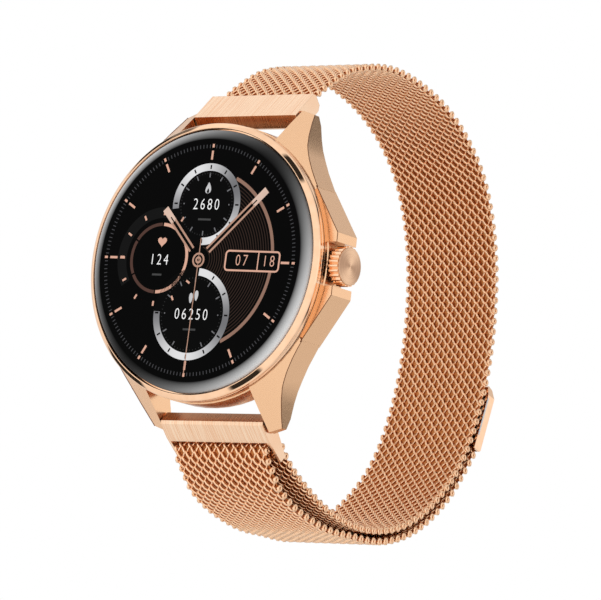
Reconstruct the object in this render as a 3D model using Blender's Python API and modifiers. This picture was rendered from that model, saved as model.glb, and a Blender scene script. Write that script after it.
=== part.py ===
"""Round smartwatch on a milanese strap, closed as it is worn.

+X points to the crown (3 o'clock), +Z to 12 o'clock and -Y out of the dial. The origin is the
middle of the flat sensor window on the case back, which lies on the wrist.
Heights along the watch axis are measured forward from that window.
"""
import math

import bmesh
import bpy
import numpy
from mathutils import Vector

MM = 0.001
FIT = 0.2 * MM
SLIP = 0.12 * MM
SEAT_GAP = 0.3 * MM
OVERCUT = 1.0 * MM
WELD = 0.001 * MM

# Cover glass: a flat top with a rolled edge
GLASS_TOP = 10.6 * MM
GLASS_R = 20.6 * MM
GLASS_ROLL_W = 1.7 * MM
GLASS_ROLL_H = 1.1 * MM
GLASS_RIM = 0.3 * MM
GLASS_T = 0.9 * MM
GLASS_FLAT_R = GLASS_R - GLASS_ROLL_W
GLASS_EDGE = GLASS_TOP - GLASS_ROLL_H
GLASS_FOOT = GLASS_EDGE - GLASS_RIM
GLASS_UNDER = GLASS_TOP - GLASS_T

# Display panel and its bracket, stacked under the glass
PANEL_R = GLASS_FLAT_R - FIT
PANEL_T = 0.75 * MM
PANEL_TOP = GLASS_UNDER - FIT
BRACKET_RIM = 0.3 * MM
BRACKET_R = PANEL_R + BRACKET_RIM
BRACKET_T = 0.75 * MM
BRACKET_TOP = PANEL_TOP - PANEL_T - FIT
BRACKET_LOW = BRACKET_TOP - BRACKET_T
BRACKET_HOLE_R = 5.0 * MM

# Bezel and case middle, turned about the watch axis
SEAT_W = 0.9 * MM
RIM_H = 0.5 * MM
RIM_STEP = 0.6 * MM
FRONT_SEAT_R = BRACKET_R + SEAT_GAP
FRONT_SEAT = BRACKET_LOW - SEAT_GAP
RIM_FRONT = FRONT_SEAT + RIM_H
CASE_FRONT = RIM_FRONT - RIM_STEP
BORE_R = FRONT_SEAT_R - SEAT_W
BEZEL_BEAD_W = 0.3 * MM
BEZEL_BEAD_RISE = 0.35 * MM
BEZEL_CONE_W = 0.5 * MM
BEZEL_CONE_DROP = 0.6 * MM
BEZEL_ROUND_W = 0.15 * MM
BEZEL_ROUND_H = 0.1 * MM
BEZEL_LEDGE_T = 0.45 * MM
BEZEL_LEDGE_GAP = 0.25 * MM
BEZEL_BEAD = GLASS_EDGE + BEZEL_BEAD_RISE
BEZEL_CONE_R = GLASS_R + FIT + BEZEL_BEAD_W + BEZEL_CONE_W
BEZEL_LEDGE_R = BRACKET_R + BEZEL_LEDGE_GAP
BEZEL_LEDGE = RIM_FRONT + FIT + BEZEL_LEDGE_T
RIM_R = BEZEL_CONE_R + BEZEL_ROUND_W
CASE_STEP = 0.15 * MM
CASE_STEP_H = 0.25 * MM
RIM_FOOT = 0.1 * MM
CASE_R = RIM_R + CASE_STEP
CASE_BACK = 2.0 * MM
BACK_ROUND = 1.2 * MM
GASKET_T = 0.2 * MM

# Case back
COVER_R = BORE_R + SEAT_W
COVER_IN = 2.6 * MM
COVER_EDGE = 1.9 * MM
COVER_SHOULDER = 1.3 * MM
COVER_SHOULDER_W = 1.5 * MM
COVER_FLAT = 0.45 * MM
COVER_FLAT_R = 12.0 * MM
BACK_SEAT_R = COVER_R + SEAT_GAP
BACK_SEAT = COVER_IN + 2 * FIT + GASKET_T
WINDOW_R = 8.1 * MM
WINDOW_T = 1.05 * MM
WINDOW_CHAMFER = 0.6 * MM
APERTURE_R = 5.5 * MM
SENSOR_R = 7.3 * MM
SENSOR_T = 0.7 * MM
SENSOR_POCKET = 1.6 * MM
CONTACT_R = 1.0 * MM
CONTACT_AT = (4.0 * MM, -11.0 * MM)
CONTACT_PROUD = 0.1 * MM
SCREW_HEAD_R = 1.15 * MM
SCREW_HEAD_T = 0.55 * MM
SCREW_R = 0.5 * MM
SCREW_LENGTH = 3.2 * MM

# Stack inside the case
POST_R = 1.5 * MM
POST_CIRCLE_R = BORE_R - POST_R - SEAT_GAP
BOARD_R = POST_CIRCLE_R - POST_R - SEAT_GAP
BOARD_T = 0.8 * MM
BOARD_TOP = BRACKET_LOW - FIT
UNDER_BOARD = BOARD_TOP - BOARD_T - SEAT_GAP
SHIELD = (11.0 * MM, 1.2 * MM, 3.1 * MM)
SHIELD_Z = 11.85 * MM
SHIELD_ROUND = 0.2 * MM
BATTERY_W = 21.6 * MM
BATTERY_L = 19.6 * MM
BATTERY_ROOM = 0.7 * MM
BATTERY_T = UNDER_BOARD - COVER_IN - BATTERY_ROOM
BATTERY_X = -2.0 * MM
BATTERY_ROUND = 3.0 * MM
MOTOR_R = 3.5 * MM
MOTOR_ROOM = 1.1 * MM
MOTOR_T = UNDER_BOARD - COVER_IN - MOTOR_ROOM
MOTOR_AT = (-2.0 * MM, -14.1 * MM)

# Crown and its switch, from the outer end of the tube inwards along X
CROWN_R = 3.0 * MM
CROWN_TRAVEL = 0.5 * MM
CROWN_FLUTES = 28
CROWN_FLUTE_SHAPE = ((0.0, 0), (0.45, 0), (0.62, 1), (0.83, 1))
CROWN_FLUTE_DEPTH = 0.22 * MM
CROWN_FLUTE_LENGTH = 1.15 * MM
CROWN_CAP_T = 0.8 * MM
CROWN_BEAD_PROUD = 0.12 * MM
CROWN_BEAD_CHAMFER = (0.27 * MM, 0.3 * MM)
CROWN_CAP_UNDER = (0.05 * MM, 0.15 * MM)
CROWN_CAP_STEPS = 56
CROWN_CUP_R = 1.9 * MM
CROWN_CUP_DEPTH = 0.85 * MM
SHAFT_R = 0.6 * MM
SHAFT_SOCKET = 0.5 * MM
SEAL_INSIDE = 0.3 * MM
TUBE_R = 1.1 * MM
TUBE_BORE_R = 0.8 * MM
TUBE_PROUD = 0.3 * MM
TUBE_INSIDE = 0.4 * MM
TUBE_OUT = CASE_R + TUBE_PROUD
TUBE_IN = BORE_R - TUBE_INSIDE
CROWN_IN = TUBE_OUT + SEAT_GAP
CROWN_FLUTE_END = CROWN_IN + CROWN_FLUTE_LENGTH
CROWN_OUT = CROWN_FLUTE_END + CROWN_CAP_T
CROWN_CUP_END = CROWN_IN + CROWN_CUP_DEPTH
CLIP_R = 1.2 * MM
CLIP_T = 0.45 * MM
CLIP_IN = TUBE_IN - FIT - CLIP_T
MAGNET_R = 1.2 * MM
MAGNET_GAP = 0.75 * MM
MAGNET_T = 1.2 * MM
MAGNET_OUT = CLIP_IN - MAGNET_GAP
CARRIER_L = 1.7 * MM
CARRIER_H = 2.2 * MM
CARRIER_W = 3.0 * MM
CARRIER_GAP = 0.5 * MM
CARRIER_OUT = MAGNET_OUT - MAGNET_T - CARRIER_GAP
SOCKET_DEPTH = 1.0 * MM
SWITCH_L = 1.7 * MM
SWITCH_H = 2.4 * MM
SWITCH_W = 3.4 * MM
STEM_SHOWN = 0.9 * MM
SWITCH_OUT = CARRIER_OUT - CARRIER_L - STEM_SHOWN
STEM_R = 0.5 * MM
STEM_INSIDE = 0.4 * MM
HOLDER_T = 0.5 * MM
HOLDER_ROOF = 0.35 * MM
CROWN_H = UNDER_BOARD - HOLDER_ROOF - FIT - SWITCH_H / 2

# Lugs and crown guards
LUG_GAP = 20.0 * MM
LUG_REACH = 3.3 * MM
LUG_FLANK = [(2.2 * MM, 2.6 * MM), (3.7 * MM, -1.25 * MM), (5.0 * MM, -4.0 * MM)]
LUG_END_DEG = 57.4
LUG_END_PROUD = 0.21 * MM
LUG_WAIST_DEG = 59.0
LUG_SLOPE = 1.18
LUG_SLOPE_IN = 0.3 * MM
LUG_SLOPE_RISE = 0.5 * MM
LUG_UNDER = [(-2.45 * MM, -9.9 * MM), (-2.1 * MM, -6.9 * MM), (-0.7 * MM, -1.4 * MM),
             (0.05 * MM, 1.0 * MM), (0.1 * MM, 4.6 * MM)]
LUG_ROOT_R = CASE_R - 1.3 * MM
WAIST_R = CASE_R - 0.4 * MM
GUARD_X = CASE_R + 1.4 * MM
GUARD_SLOT = CROWN_R + 0.4 * MM
GUARD_TIP = 1.45 * MM
GUARD_BACK = CASE_BACK + 0.2 * MM
GUARD_WAIST_DEG = 55.0

# Mesh band, seen from its edge; the routes are drawn for pins ROUTE_PIN_Z from the middle
RING_LEG_T = 0.45 * MM
LINK_CLEAR = 0.25 * MM
LINK_W = LUG_GAP - 2 * LINK_CLEAR
BAND_W = LINK_W - 2 * (RING_LEG_T + FIT)
BAND_T = 1.1 * MM
BAND_STEP = 2.4 * MM
LAYER_GAP = 0.55 * MM
LAYER_STEP = BAND_T + LAYER_GAP
ROUTE_PIN_Z = 23.8 * MM
ROUTE = [(6.4, 30.8), (13.7, 35.0), (24.5, 37.1), (36.4, 35.3), (46.0, 30.9), (53.5, 23.8),
         (58.2, 13.4), (59.7, 1.5), (58.5, -10.2), (54.3, -21.4), (46.9, -29.6), (38.0, -34.5),
         (28.0, -36.0), (18.0, -34.4), (10.0, -30.9)]
TAIL_ROUTE = [(5.3, -33.3), (10.5, -35.7), (18.5, -37.4)]
FOLD_LEAD_IN = 3.0 * MM
FOLD_LEAD_OUT = 2.0 * MM
TAIL_MERGE = 6.0 * MM
TAB_LEAD = 2.0 * MM
UPPER_RUN = 17.0 * MM
BACK_RUN = 92.0 * MM
FOLD_RUN = 8.5 * MM
TAIL_RUNS = (16.0 * MM, 18.0 * MM)

# Spring bars, upper end link and lower slide ring, in the plane of Y and Z
PIN_Y = -0.8 * MM
PIN_Z = CASE_R + 1.9 * MM
PIN_R = 0.6 * MM
PIN_TIP_R = 0.35 * MM
PIN_TIP = 1.0 * MM
LINK_ANGLE = math.radians(45)
LINK_LENGTH = 5.9 * MM
LINK_WALL = 0.75 * MM
LINK_T = BAND_T + 2 * (FIT + LINK_WALL)
LINK_AHEAD = 1.1 * MM
LINK_OVER = 1.75 * MM
LINK_CHAMFER = 0.5 * MM
LINK_LIP = 0.6 * MM
LINK_LIP_IN = 0.4 * MM
LINK_GRIP = 1.6 * MM
BAND_LEAD = 1.5 * MM
RING_ANGLE = math.radians(-44.5)
RING_BAR_L = 3.85 * MM
RING_BAR_T = 2.85 * MM
RING_CHAMFER = 0.4 * MM
RING_SHOULDER = 3.08 * MM
RING_ABOVE = 1.46 * MM
RING_AHEAD = 1.9 * MM
RING_TIP = 1.1 * MM
RING_END = 1.45 * MM
FAR_BAR_R = 0.9 * MM
FOLD_GAP = 0.65 * MM
FOLD_R = FAR_BAR_R + BAND_T / 2 + FOLD_GAP

# Magnetic tab at the tail's end
TAB_LENGTH = 11.2 * MM
TAB_Z = -13.0 * MM
TAB_GAP = 0.25 * MM
TAB_ROOM = 0.15 * MM
TAB_SKIN = 0.4 * MM
TAB_WALL = 0.45 * MM
TAB_GRIP = 2.0 * MM
TAB_NOSE = 1.6 * MM
TAB_NOSE_DROP = 0.6 * MM
TAB_CHAMFER = 0.3 * MM
TAB_SINK = 0.1 * MM
TAB_LIFT = BAND_T / 2 + TAB_GAP
TAB_OUTER = LAYER_STEP + BAND_T / 2 + TAB_ROOM + TAB_SKIN
TAB_W = BAND_W + 2 * (FIT + TAB_SKIN)
TAB_PLATE_T = 0.35 * MM
TAB_MAGNET = (7.6 * MM, 0.68 * MM, 5.4 * MM)

# Facets round a turn, and the three ways that a shape can face
ROUND = 66
HIDDEN = 48
SMALL = 28
TINY = 20
FRONTWARD = (math.pi / 2, 0, 0)
CROWNWARD = (0, math.pi / 2, 0)
EDGEWISE = (math.pi / 2, 0, math.pi / 2)

# Finishes: colour, roughness and metallic value
ROSE_SATIN = ((0.86, 0.58, 0.41), 0.32, 1.0)
ROSE_POLISHED = ((0.92, 0.66, 0.49), 0.08, 1.0)
ROSE_MESH = ((0.83, 0.55, 0.37), 0.35, 1.0)
STEEL = ((0.6, 0.6, 0.6), 0.3, 1.0)
GOLD = ((0.9, 0.7, 0.3), 0.2, 1.0)
FOIL = ((0.55, 0.55, 0.57), 0.35, 0.6)
BLACK_GLASS = ((0.01, 0.01, 0.012), 0.03, 0.0)
BLACK_PANEL = ((0.01, 0.01, 0.01), 0.2, 0.0)
BLACK_PLASTIC = ((0.02, 0.02, 0.02), 0.5, 0.0)
BLACK_RUBBER = ((0.015, 0.015, 0.015), 0.8, 0.0)
GREEN_BOARD = ((0.02, 0.12, 0.06), 0.5, 0.0)
SHARP_EDGE = math.radians(30)


def start_scene():
    for thing in list(bpy.data.objects):
        bpy.data.objects.remove(thing, do_unlink=True)
    made = []
    for name in ("smartwatch", "cutters"):
        group = bpy.data.collections.new(name)
        bpy.context.scene.collection.children.link(group)
        made.append(group)
    return made


PARTS, CUTTERS = start_scene()


def material(name, colour, roughness, metallic):
    made = bpy.data.materials.new(name)
    made.use_nodes = True
    shader = made.node_tree.nodes["Principled BSDF"]
    shader.inputs["Base Color"].default_value = (*colour, 1)
    shader.inputs["Roughness"].default_value = roughness
    shader.inputs["Metallic"].default_value = metallic
    return made


def pivot(name, at):
    empty = bpy.data.objects.new(name, None)
    empty.location = at
    PARTS.objects.link(empty)
    return empty


def keep(thing, finish, on=None):
    """Puts a finished piece among the parts, with its own material and on its pivot."""
    thing.data.materials.clear()
    thing.data.materials.append(material(thing.name, *finish))
    thing.data.shade_smooth()
    thing.data.set_sharp_from_angle(angle=SHARP_EDGE)
    PARTS.objects.link(thing)
    if on:
        thing.parent = on
        thing.location -= on.location
    return thing


def tool(thing):
    """Puts a shape that only cuts or joins among the cutters."""
    thing.hide_render = True
    thing.display_type = "WIRE"
    CUTTERS.objects.link(thing)
    return thing


def turned(name, profile, facing, at=(0, 0, 0), steps=ROUND, closed=True):
    """Turns (radius, height) points, listed down the outer side, about the axis that facing sets."""
    mesh = bpy.data.meshes.new(name)
    shape = bmesh.new()
    corners = [shape.verts.new((radius, 0, height)) for radius, height in profile]
    for one, two in zip(corners, corners[1:] + corners[:1] if closed else corners[1:]):
        shape.edges.new((one, two))
    shape.to_mesh(mesh)
    shape.free()
    thing = bpy.data.objects.new(name, mesh)
    thing.rotation_euler = facing
    thing.location = at
    turn = thing.modifiers.new("turn", "SCREW")
    turn.steps = turn.render_steps = steps
    turn.use_merge_vertices = True
    turn.merge_threshold = WELD
    return thing


def disc(name, radius, low, high, facing, at=(0, 0, 0), steps=ROUND):
    profile = [(0, high), (radius, high), (radius, low), (0, low)]
    return turned(name, profile, facing, at, steps, closed=False)


def ring(name, inner, outer, low, high, facing, at=(0, 0, 0), steps=ROUND):
    profile = [(outer, high), (outer, low), (inner, low), (inner, high)]
    return turned(name, profile, facing, at, steps)


def plate(name, outline, facing, low, high):
    """A flat outline drawn as a filled curve, as thick as low to high along its normal."""
    curve = bpy.data.curves.new(name, "CURVE")
    curve.dimensions = "2D"
    curve.fill_mode = "BOTH"
    curve.extrude = (high - low) / 2
    edge = curve.splines.new("POLY")
    edge.points.add(len(outline) - 1)
    for point, (across, up) in zip(edge.points, outline):
        point.co = (across, up, 0, 1)
    edge.use_cyclic_u = True
    drawn = bpy.data.objects.new(name + "_outline", curve)
    bpy.context.scene.collection.objects.link(drawn)
    bpy.context.view_layer.update()
    solid = bpy.data.meshes.new_from_object(drawn.evaluated_get(bpy.context.evaluated_depsgraph_get()))
    bpy.data.objects.remove(drawn, do_unlink=True)
    shape = bmesh.new()
    shape.from_mesh(solid)
    bmesh.ops.remove_doubles(shape, verts=shape.verts, dist=WELD)
    bmesh.ops.translate(shape, verts=shape.verts, vec=(0, 0, (low + high) / 2))
    shape.to_mesh(solid)
    shape.free()
    solid.name = name
    thing = bpy.data.objects.new(name, solid)
    thing.rotation_euler = facing
    return thing


def across_watch(name, outline, width):
    """An outline in the plane of Y and Z, as wide as given across the watch."""
    return plate(name, outline, EDGEWISE, -width / 2, width / 2)


def block(name, low, high, round_edges=0.0):
    mesh = bpy.data.meshes.new(name)
    shape = bmesh.new()
    bmesh.ops.create_cube(shape, size=1)
    size = Vector(high) - Vector(low)
    bmesh.ops.scale(shape, verts=shape.verts, vec=size)
    bmesh.ops.translate(shape, verts=shape.verts, vec=(Vector(low) + Vector(high)) / 2)
    shape.to_mesh(mesh)
    shape.free()
    thing = bpy.data.objects.new(name, mesh)
    if round_edges:
        bevel = thing.modifiers.new("round", "BEVEL")
        bevel.width = round_edges
        bevel.segments = 2
    return thing


def combine(thing, how, *others):
    for other in others:
        step = thing.modifiers.new(how.lower(), "BOOLEAN")
        step.operation = how
        step.object = tool(other)
    return thing


def arc(radius, start_deg, end_deg, steps, centre=(0, 0)):
    """Points of a round stretch, with angles counted clockwise from straight up."""
    turns = [math.radians(start_deg + (end_deg - start_deg) * i / steps) for i in range(steps + 1)]
    return [(centre[0] + radius * math.sin(t), centre[1] + radius * math.cos(t)) for t in turns]


def on_circle(radius, degrees):
    turn = math.radians(degrees)
    return radius * math.sin(turn), radius * math.cos(turn)


def quarter(steps=4):
    """Angles of a rounded edge, from its flat top to its wall."""
    return [i * math.pi / 2 / steps for i in range(steps + 1)]


def smooth(points, step):
    """Even points, about a step apart, on a Catmull-Rom curve through the given ones."""
    given = [numpy.array(p) for p in points]
    given = [2 * given[0] - given[1]] + given + [2 * given[-1] - given[-2]]
    fine = []
    for a, b, c, d in zip(given, given[1:], given[2:], given[3:]):
        for t in numpy.linspace(0, 1, 24, endpoint=False):
            fine.append(0.5 * (2 * b + (c - a) * t + (2 * a - 5 * b + 4 * c - d) * t ** 2
                               + (3 * b - a - 3 * c + d) * t ** 3))
    fine = numpy.array(fine + [given[-2]])
    run = lengths(fine)
    even = numpy.linspace(0, run[-1], max(2, round(run[-1] / step)) + 1)
    return numpy.stack([numpy.interp(even, run, fine[:, 0]), numpy.interp(even, run, fine[:, 1])], 1)


def lengths(route):
    """How far along the route each of its points lies."""
    return numpy.concatenate([[0], numpy.cumsum(numpy.linalg.norm(numpy.diff(route, axis=0), axis=1))])


def between(route, start, end):
    """The stretch of a route from one length along it to another."""
    run = lengths(route)
    picked = [start] + [s for s in run if start + FIT < s < end - FIT] + [end]
    return numpy.stack([numpy.interp(picked, run, route[:, 0]), numpy.interp(picked, run, route[:, 1])], 1)


def outward(route):
    """Unit normals on the side away from the wrist."""
    along = numpy.gradient(route, axis=0)
    along /= numpy.linalg.norm(along, axis=1)[:, None]
    return numpy.stack([-along[:, 1], along[:, 0]], 1)


def drawn_route(points):
    """Route points in metres, stretched along Z as far as the pins stand from the middle."""
    return [numpy.array((y * MM, z * MM * PIN_Z / ROUTE_PIN_Z)) for y, z in points]


def placed(origin, along, across, points):
    """Points given along and across a tilted piece, in the plane of Y and Z."""
    return [origin + u * along + v * across for u, v in points]


def band(name, route, on=None):
    """One stretch of the mesh band, as wide as the band and as thick as its wires lie."""
    side = outward(route) * BAND_T / 2
    outline = numpy.concatenate([route + side, (route - side)[::-1]])
    return keep(across_watch(name, outline, BAND_W), ROSE_MESH, on)


# Case middle: a turned ring with sloping lugs and flat-sided crown guards
def lug(across, up):
    half_gap = LUG_GAP / 2
    root_deg = math.degrees(math.asin(half_gap / LUG_ROOT_R))
    flank = [(half_gap + x, CASE_R + z) for x, z in LUG_FLANK]
    flank = smooth(flank + [on_circle(CASE_R + LUG_END_PROUD, LUG_END_DEG)], 2 * MM)
    outline = [(half_gap, CASE_R + LUG_REACH)] + [tuple(p) for p in flank]
    outline += [on_circle(WAIST_R, LUG_WAIST_DEG)] + arc(LUG_ROOT_R, LUG_WAIST_DEG, root_deg, 6)
    outline = [(across * x, up * z) for x, z in outline]
    return plate("lug_shape", outline, FRONTWARD, -CASE_R, CASE_R)


def guard(up):
    shoulder_x, shoulder_z = on_circle(CASE_R + LUG_END_PROUD, LUG_END_DEG)
    root_deg = math.degrees(math.acos(GUARD_SLOT / LUG_ROOT_R))
    outline = [on_circle(WAIST_R, GUARD_WAIST_DEG), (shoulder_x - FIT, shoulder_z + FIT),
               (GUARD_X, GUARD_SLOT + GUARD_TIP), (GUARD_X, GUARD_SLOT)]
    outline += arc(LUG_ROOT_R, root_deg, GUARD_WAIST_DEG, 4)
    outline = [(x, up * z) for x, z in outline]
    return plate("guard_shape", outline, FRONTWARD, GUARD_BACK, CASE_FRONT)


def lug_slope():
    """A wide cone about the watch axis, under which the fronts of the lugs lie."""
    top_r = CASE_R - LUG_SLOPE_IN
    top = CASE_FRONT + LUG_SLOPE_RISE
    foot_r = top_r + (top + OVERCUT) / LUG_SLOPE
    profile = [(0, top), (top_r, top), (foot_r, -OVERCUT), (0, -OVERCUT)]
    return turned("slope", profile, FRONTWARD, steps=ROUND + 5, closed=False)


def below_lugs():
    """What is cut away behind the lugs, above and below the case."""
    upper = [(y, CASE_R + z) for y, z in LUG_UNDER]
    upper += [(CASE_R, upper[-1][1])]
    return across_watch("below_lugs", upper + [(y, -z) for y, z in reversed(upper)], 4 * CASE_R)


def case_middle():
    profile = [(RIM_R, RIM_FRONT), (RIM_R, CASE_FRONT - RIM_FOOT), (CASE_R, CASE_FRONT - CASE_STEP_H)]
    profile += [(CASE_R - BACK_ROUND * (1 - math.cos(t)), CASE_BACK + BACK_ROUND * (1 - math.sin(t)))
                for t in quarter()]
    profile += [(BACK_SEAT_R, CASE_BACK), (BACK_SEAT_R, BACK_SEAT), (BORE_R, BACK_SEAT),
                (BORE_R, FRONT_SEAT), (FRONT_SEAT_R, FRONT_SEAT), (FRONT_SEAT_R, RIM_FRONT)]
    case = turned("case_middle", profile, FRONTWARD)
    for across in (1, -1):
        for up in (1, -1):
            shape = lug(across, up)
            combine(shape, "INTERSECT", lug_slope())
            combine(shape, "DIFFERENCE", below_lugs())
            combine(case, "UNION", shape)
    reach = LUG_GAP / 2 + PIN_TIP + FIT
    for up in (1, -1):
        combine(case, "UNION", guard(up))
        at = (0, PIN_Y, up * PIN_Z)
        combine(case, "DIFFERENCE", disc("pin_hole", PIN_TIP_R + FIT, -reach, reach, CROWNWARD, at, TINY))
    hole = disc("tube_hole", TUBE_R + FIT, BORE_R - 2 * OVERCUT, CASE_R + OVERCUT, CROWNWARD,
                (0, -CROWN_H, 0), SMALL)
    combine(case, "DIFFERENCE", hole)
    keep(case, ROSE_SATIN)


# Bezel, glass, gasket and display panel
def glass_stack():
    inner = GLASS_R + FIT
    cone_foot = BEZEL_BEAD - BEZEL_CONE_DROP
    profile = [(inner + BEZEL_BEAD_W, BEZEL_BEAD), (BEZEL_CONE_R, cone_foot),
               (RIM_R, cone_foot - BEZEL_ROUND_H), (RIM_R, RIM_FRONT + FIT),
               (BEZEL_LEDGE_R, RIM_FRONT + FIT), (BEZEL_LEDGE_R, BEZEL_LEDGE), (inner, BEZEL_LEDGE),
               (inner, BEZEL_BEAD - BEZEL_ROUND_H), (inner + BEZEL_BEAD_W / 2, BEZEL_BEAD)]
    keep(turned("bezel", profile, FRONTWARD), ROSE_POLISHED)

    under_r = PANEL_R + 2 * FIT
    profile = [(0, GLASS_TOP)]
    profile += [(GLASS_FLAT_R + GLASS_ROLL_W * math.sin(t), GLASS_EDGE + GLASS_ROLL_H * math.cos(t))
                for t in quarter()]
    profile += [(GLASS_R, GLASS_FOOT), (under_r + 2 * FIT, GLASS_FOOT), (under_r, GLASS_UNDER),
                (0, GLASS_UNDER)]
    keep(turned("cover_glass", profile, FRONTWARD, closed=False), BLACK_GLASS)

    low = BEZEL_LEDGE + (GLASS_FOOT - BEZEL_LEDGE - GASKET_T) / 2
    gasket = ring("glass_gasket", under_r + 4 * FIT, GLASS_R - FIT, low, low + GASKET_T, FRONTWARD,
                  steps=HIDDEN)
    keep(gasket, BLACK_RUBBER)
    panel = disc("display_panel", PANEL_R, PANEL_TOP - PANEL_T, PANEL_TOP, FRONTWARD, steps=HIDDEN)
    keep(panel, BLACK_PANEL)


def screw_places():
    """The four screws stand on the diagonals."""
    place = POST_CIRCLE_R * math.sqrt(0.5)
    return [(place, 0, place), (-place, 0, place), (-place, 0, -place), (place, 0, -place)]


# Bracket, board and what they carry
def inner_stack():
    bracket = ring("display_bracket", BRACKET_HOLE_R, BRACKET_R, BRACKET_LOW, BRACKET_TOP, FRONTWARD,
                   steps=HIDDEN)
    end = COVER_IN + FIT
    for at in screw_places():
        combine(bracket, "UNION",
                disc("post", POST_R, end, BRACKET_LOW + BRACKET_T / 2, FRONTWARD, at, TINY))
        combine(bracket, "DIFFERENCE",
                disc("post_hole", SCREW_R + FIT, end - OVERCUT, end + SCREW_LENGTH, FRONTWARD, at, TINY))
    keep(bracket, BLACK_PLASTIC)

    board = disc("main_board", BOARD_R, BOARD_TOP - BOARD_T, BOARD_TOP, FRONTWARD, steps=HIDDEN)
    keep(board, GREEN_BOARD)
    wide, deep, tall = SHIELD
    shield = block("processor_shield", (-wide / 2, -UNDER_BOARD, SHIELD_Z - tall / 2),
                   (wide / 2, deep - UNDER_BOARD, SHIELD_Z + tall / 2), SHIELD_ROUND)
    keep(shield, STEEL)
    outline = []
    for turn, (x, z) in enumerate(((1, 1), (1, -1), (-1, -1), (-1, 1))):
        middle = (BATTERY_X + x * (BATTERY_W / 2 - BATTERY_ROUND), z * (BATTERY_L / 2 - BATTERY_ROUND))
        outline += arc(BATTERY_ROUND, 90 * turn, 90 * turn + 90, 4, middle)
    keep(plate("battery", outline, FRONTWARD, UNDER_BOARD - BATTERY_T, UNDER_BOARD), FOIL)
    x, z = MOTOR_AT
    motor = disc("vibration_motor", MOTOR_R, UNDER_BOARD - MOTOR_T, UNDER_BOARD, FRONTWARD, (x, 0, z), SMALL)
    keep(motor, STEEL)


# Case back with its sensor window, contacts and screws
def case_back():
    well = WINDOW_R + FIT
    seat = WINDOW_T + FIT
    pocket = SENSOR_R + FIT
    profile = [(COVER_R - COVER_SHOULDER_W, COVER_SHOULDER), (COVER_R, COVER_EDGE), (COVER_R, COVER_IN),
               (pocket, COVER_IN), (pocket, SENSOR_POCKET), (APERTURE_R, SENSOR_POCKET), (APERTURE_R, seat),
               (well, seat), (well, COVER_FLAT), (COVER_FLAT_R, COVER_FLAT)]
    cover = turned("back_cover", profile, FRONTWARD)
    head_low = COVER_SHOULDER
    head_top = head_low + SCREW_HEAD_T
    for number, at in enumerate(screw_places(), 1):
        sink = disc("screw_sink", SCREW_HEAD_R + FIT, 0, head_top + FIT, FRONTWARD, at, TINY)
        hole = disc("screw_hole", SCREW_R + FIT, 0, COVER_IN + OVERCUT, FRONTWARD, at, TINY)
        combine(cover, "DIFFERENCE", sink, hole)
        profile = [(0, head_top + SCREW_LENGTH), (SCREW_R, head_top + SCREW_LENGTH), (SCREW_R, head_top),
                   (SCREW_HEAD_R, head_top), (SCREW_HEAD_R, head_low), (0, head_low)]
        keep(turned("back_screw_%d" % number, profile, FRONTWARD, at, TINY, closed=False), STEEL)
    x, z = CONTACT_AT
    for number, side in enumerate((-1, 1), 1):
        at = (side * x, 0, z)
        hole = disc("contact_hole", CONTACT_R + FIT, 0, COVER_IN + OVERCUT, FRONTWARD, at, TINY)
        combine(cover, "DIFFERENCE", hole)
        contact = disc("charge_contact_%d" % number, CONTACT_R, COVER_FLAT - CONTACT_PROUD, COVER_IN,
                       FRONTWARD, at, TINY)
        keep(contact, GOLD)
    keep(cover, BLACK_PLASTIC)

    profile = [(0, WINDOW_T), (WINDOW_R, WINDOW_T), (WINDOW_R, WINDOW_CHAMFER),
               (WINDOW_R - WINDOW_CHAMFER, 0), (0, 0)]
    keep(turned("sensor_window", profile, FRONTWARD, closed=False), BLACK_GLASS)
    low = SENSOR_POCKET + FIT
    keep(disc("sensor_board", SENSOR_R, low, low + SENSOR_T, FRONTWARD, steps=HIDDEN), GREEN_BOARD)
    low = COVER_IN + FIT
    gasket = ring("back_gasket", BORE_R + FIT, BACK_SEAT_R - FIT, low, low + GASKET_T, FRONTWARD, steps=HIDDEN)
    keep(gasket, BLACK_RUBBER)


# Crown: turns on its shaft and pushes the carrier against the switch
def fluted_crown(axis):
    teeth = []
    for flute in range(CROWN_FLUTES):
        for part, depth in CROWN_FLUTE_SHAPE:
            turn = 2 * math.pi * (flute + part) / CROWN_FLUTES
            radius = CROWN_R - depth * CROWN_FLUTE_DEPTH
            teeth.append((radius * math.cos(turn), radius * math.sin(turn)))
    crown = plate("crown", teeth, CROWNWARD, CROWN_IN, CROWN_FLUTE_END)
    crown.location = axis
    root = CROWN_R - 2 * CROWN_FLUTE_DEPTH
    bead = CROWN_R + CROWN_BEAD_PROUD
    chamfer_in, chamfer_down = CROWN_BEAD_CHAMFER
    lip, under = (CROWN_FLUTE_END - drop for drop in CROWN_CAP_UNDER)
    profile = [(0, CROWN_OUT), (bead - chamfer_in, CROWN_OUT), (bead, CROWN_OUT - chamfer_down), (bead, lip),
               (root, under), (0, under)]
    combine(crown, "UNION", turned("crown_cap", profile, CROWNWARD, axis, CROWN_CAP_STEPS, closed=False))
    hole = SHAFT_R + FIT
    profile = [(0, CROWN_CUP_END + SHAFT_SOCKET), (hole, CROWN_CUP_END + SHAFT_SOCKET), (hole, CROWN_CUP_END),
               (CROWN_CUP_R, CROWN_CUP_END), (CROWN_CUP_R, CROWN_IN - OVERCUT), (0, CROWN_IN - OVERCUT)]
    combine(crown, "DIFFERENCE", turned("crown_cup", profile, CROWNWARD, axis, SMALL, closed=False))
    return crown


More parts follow.
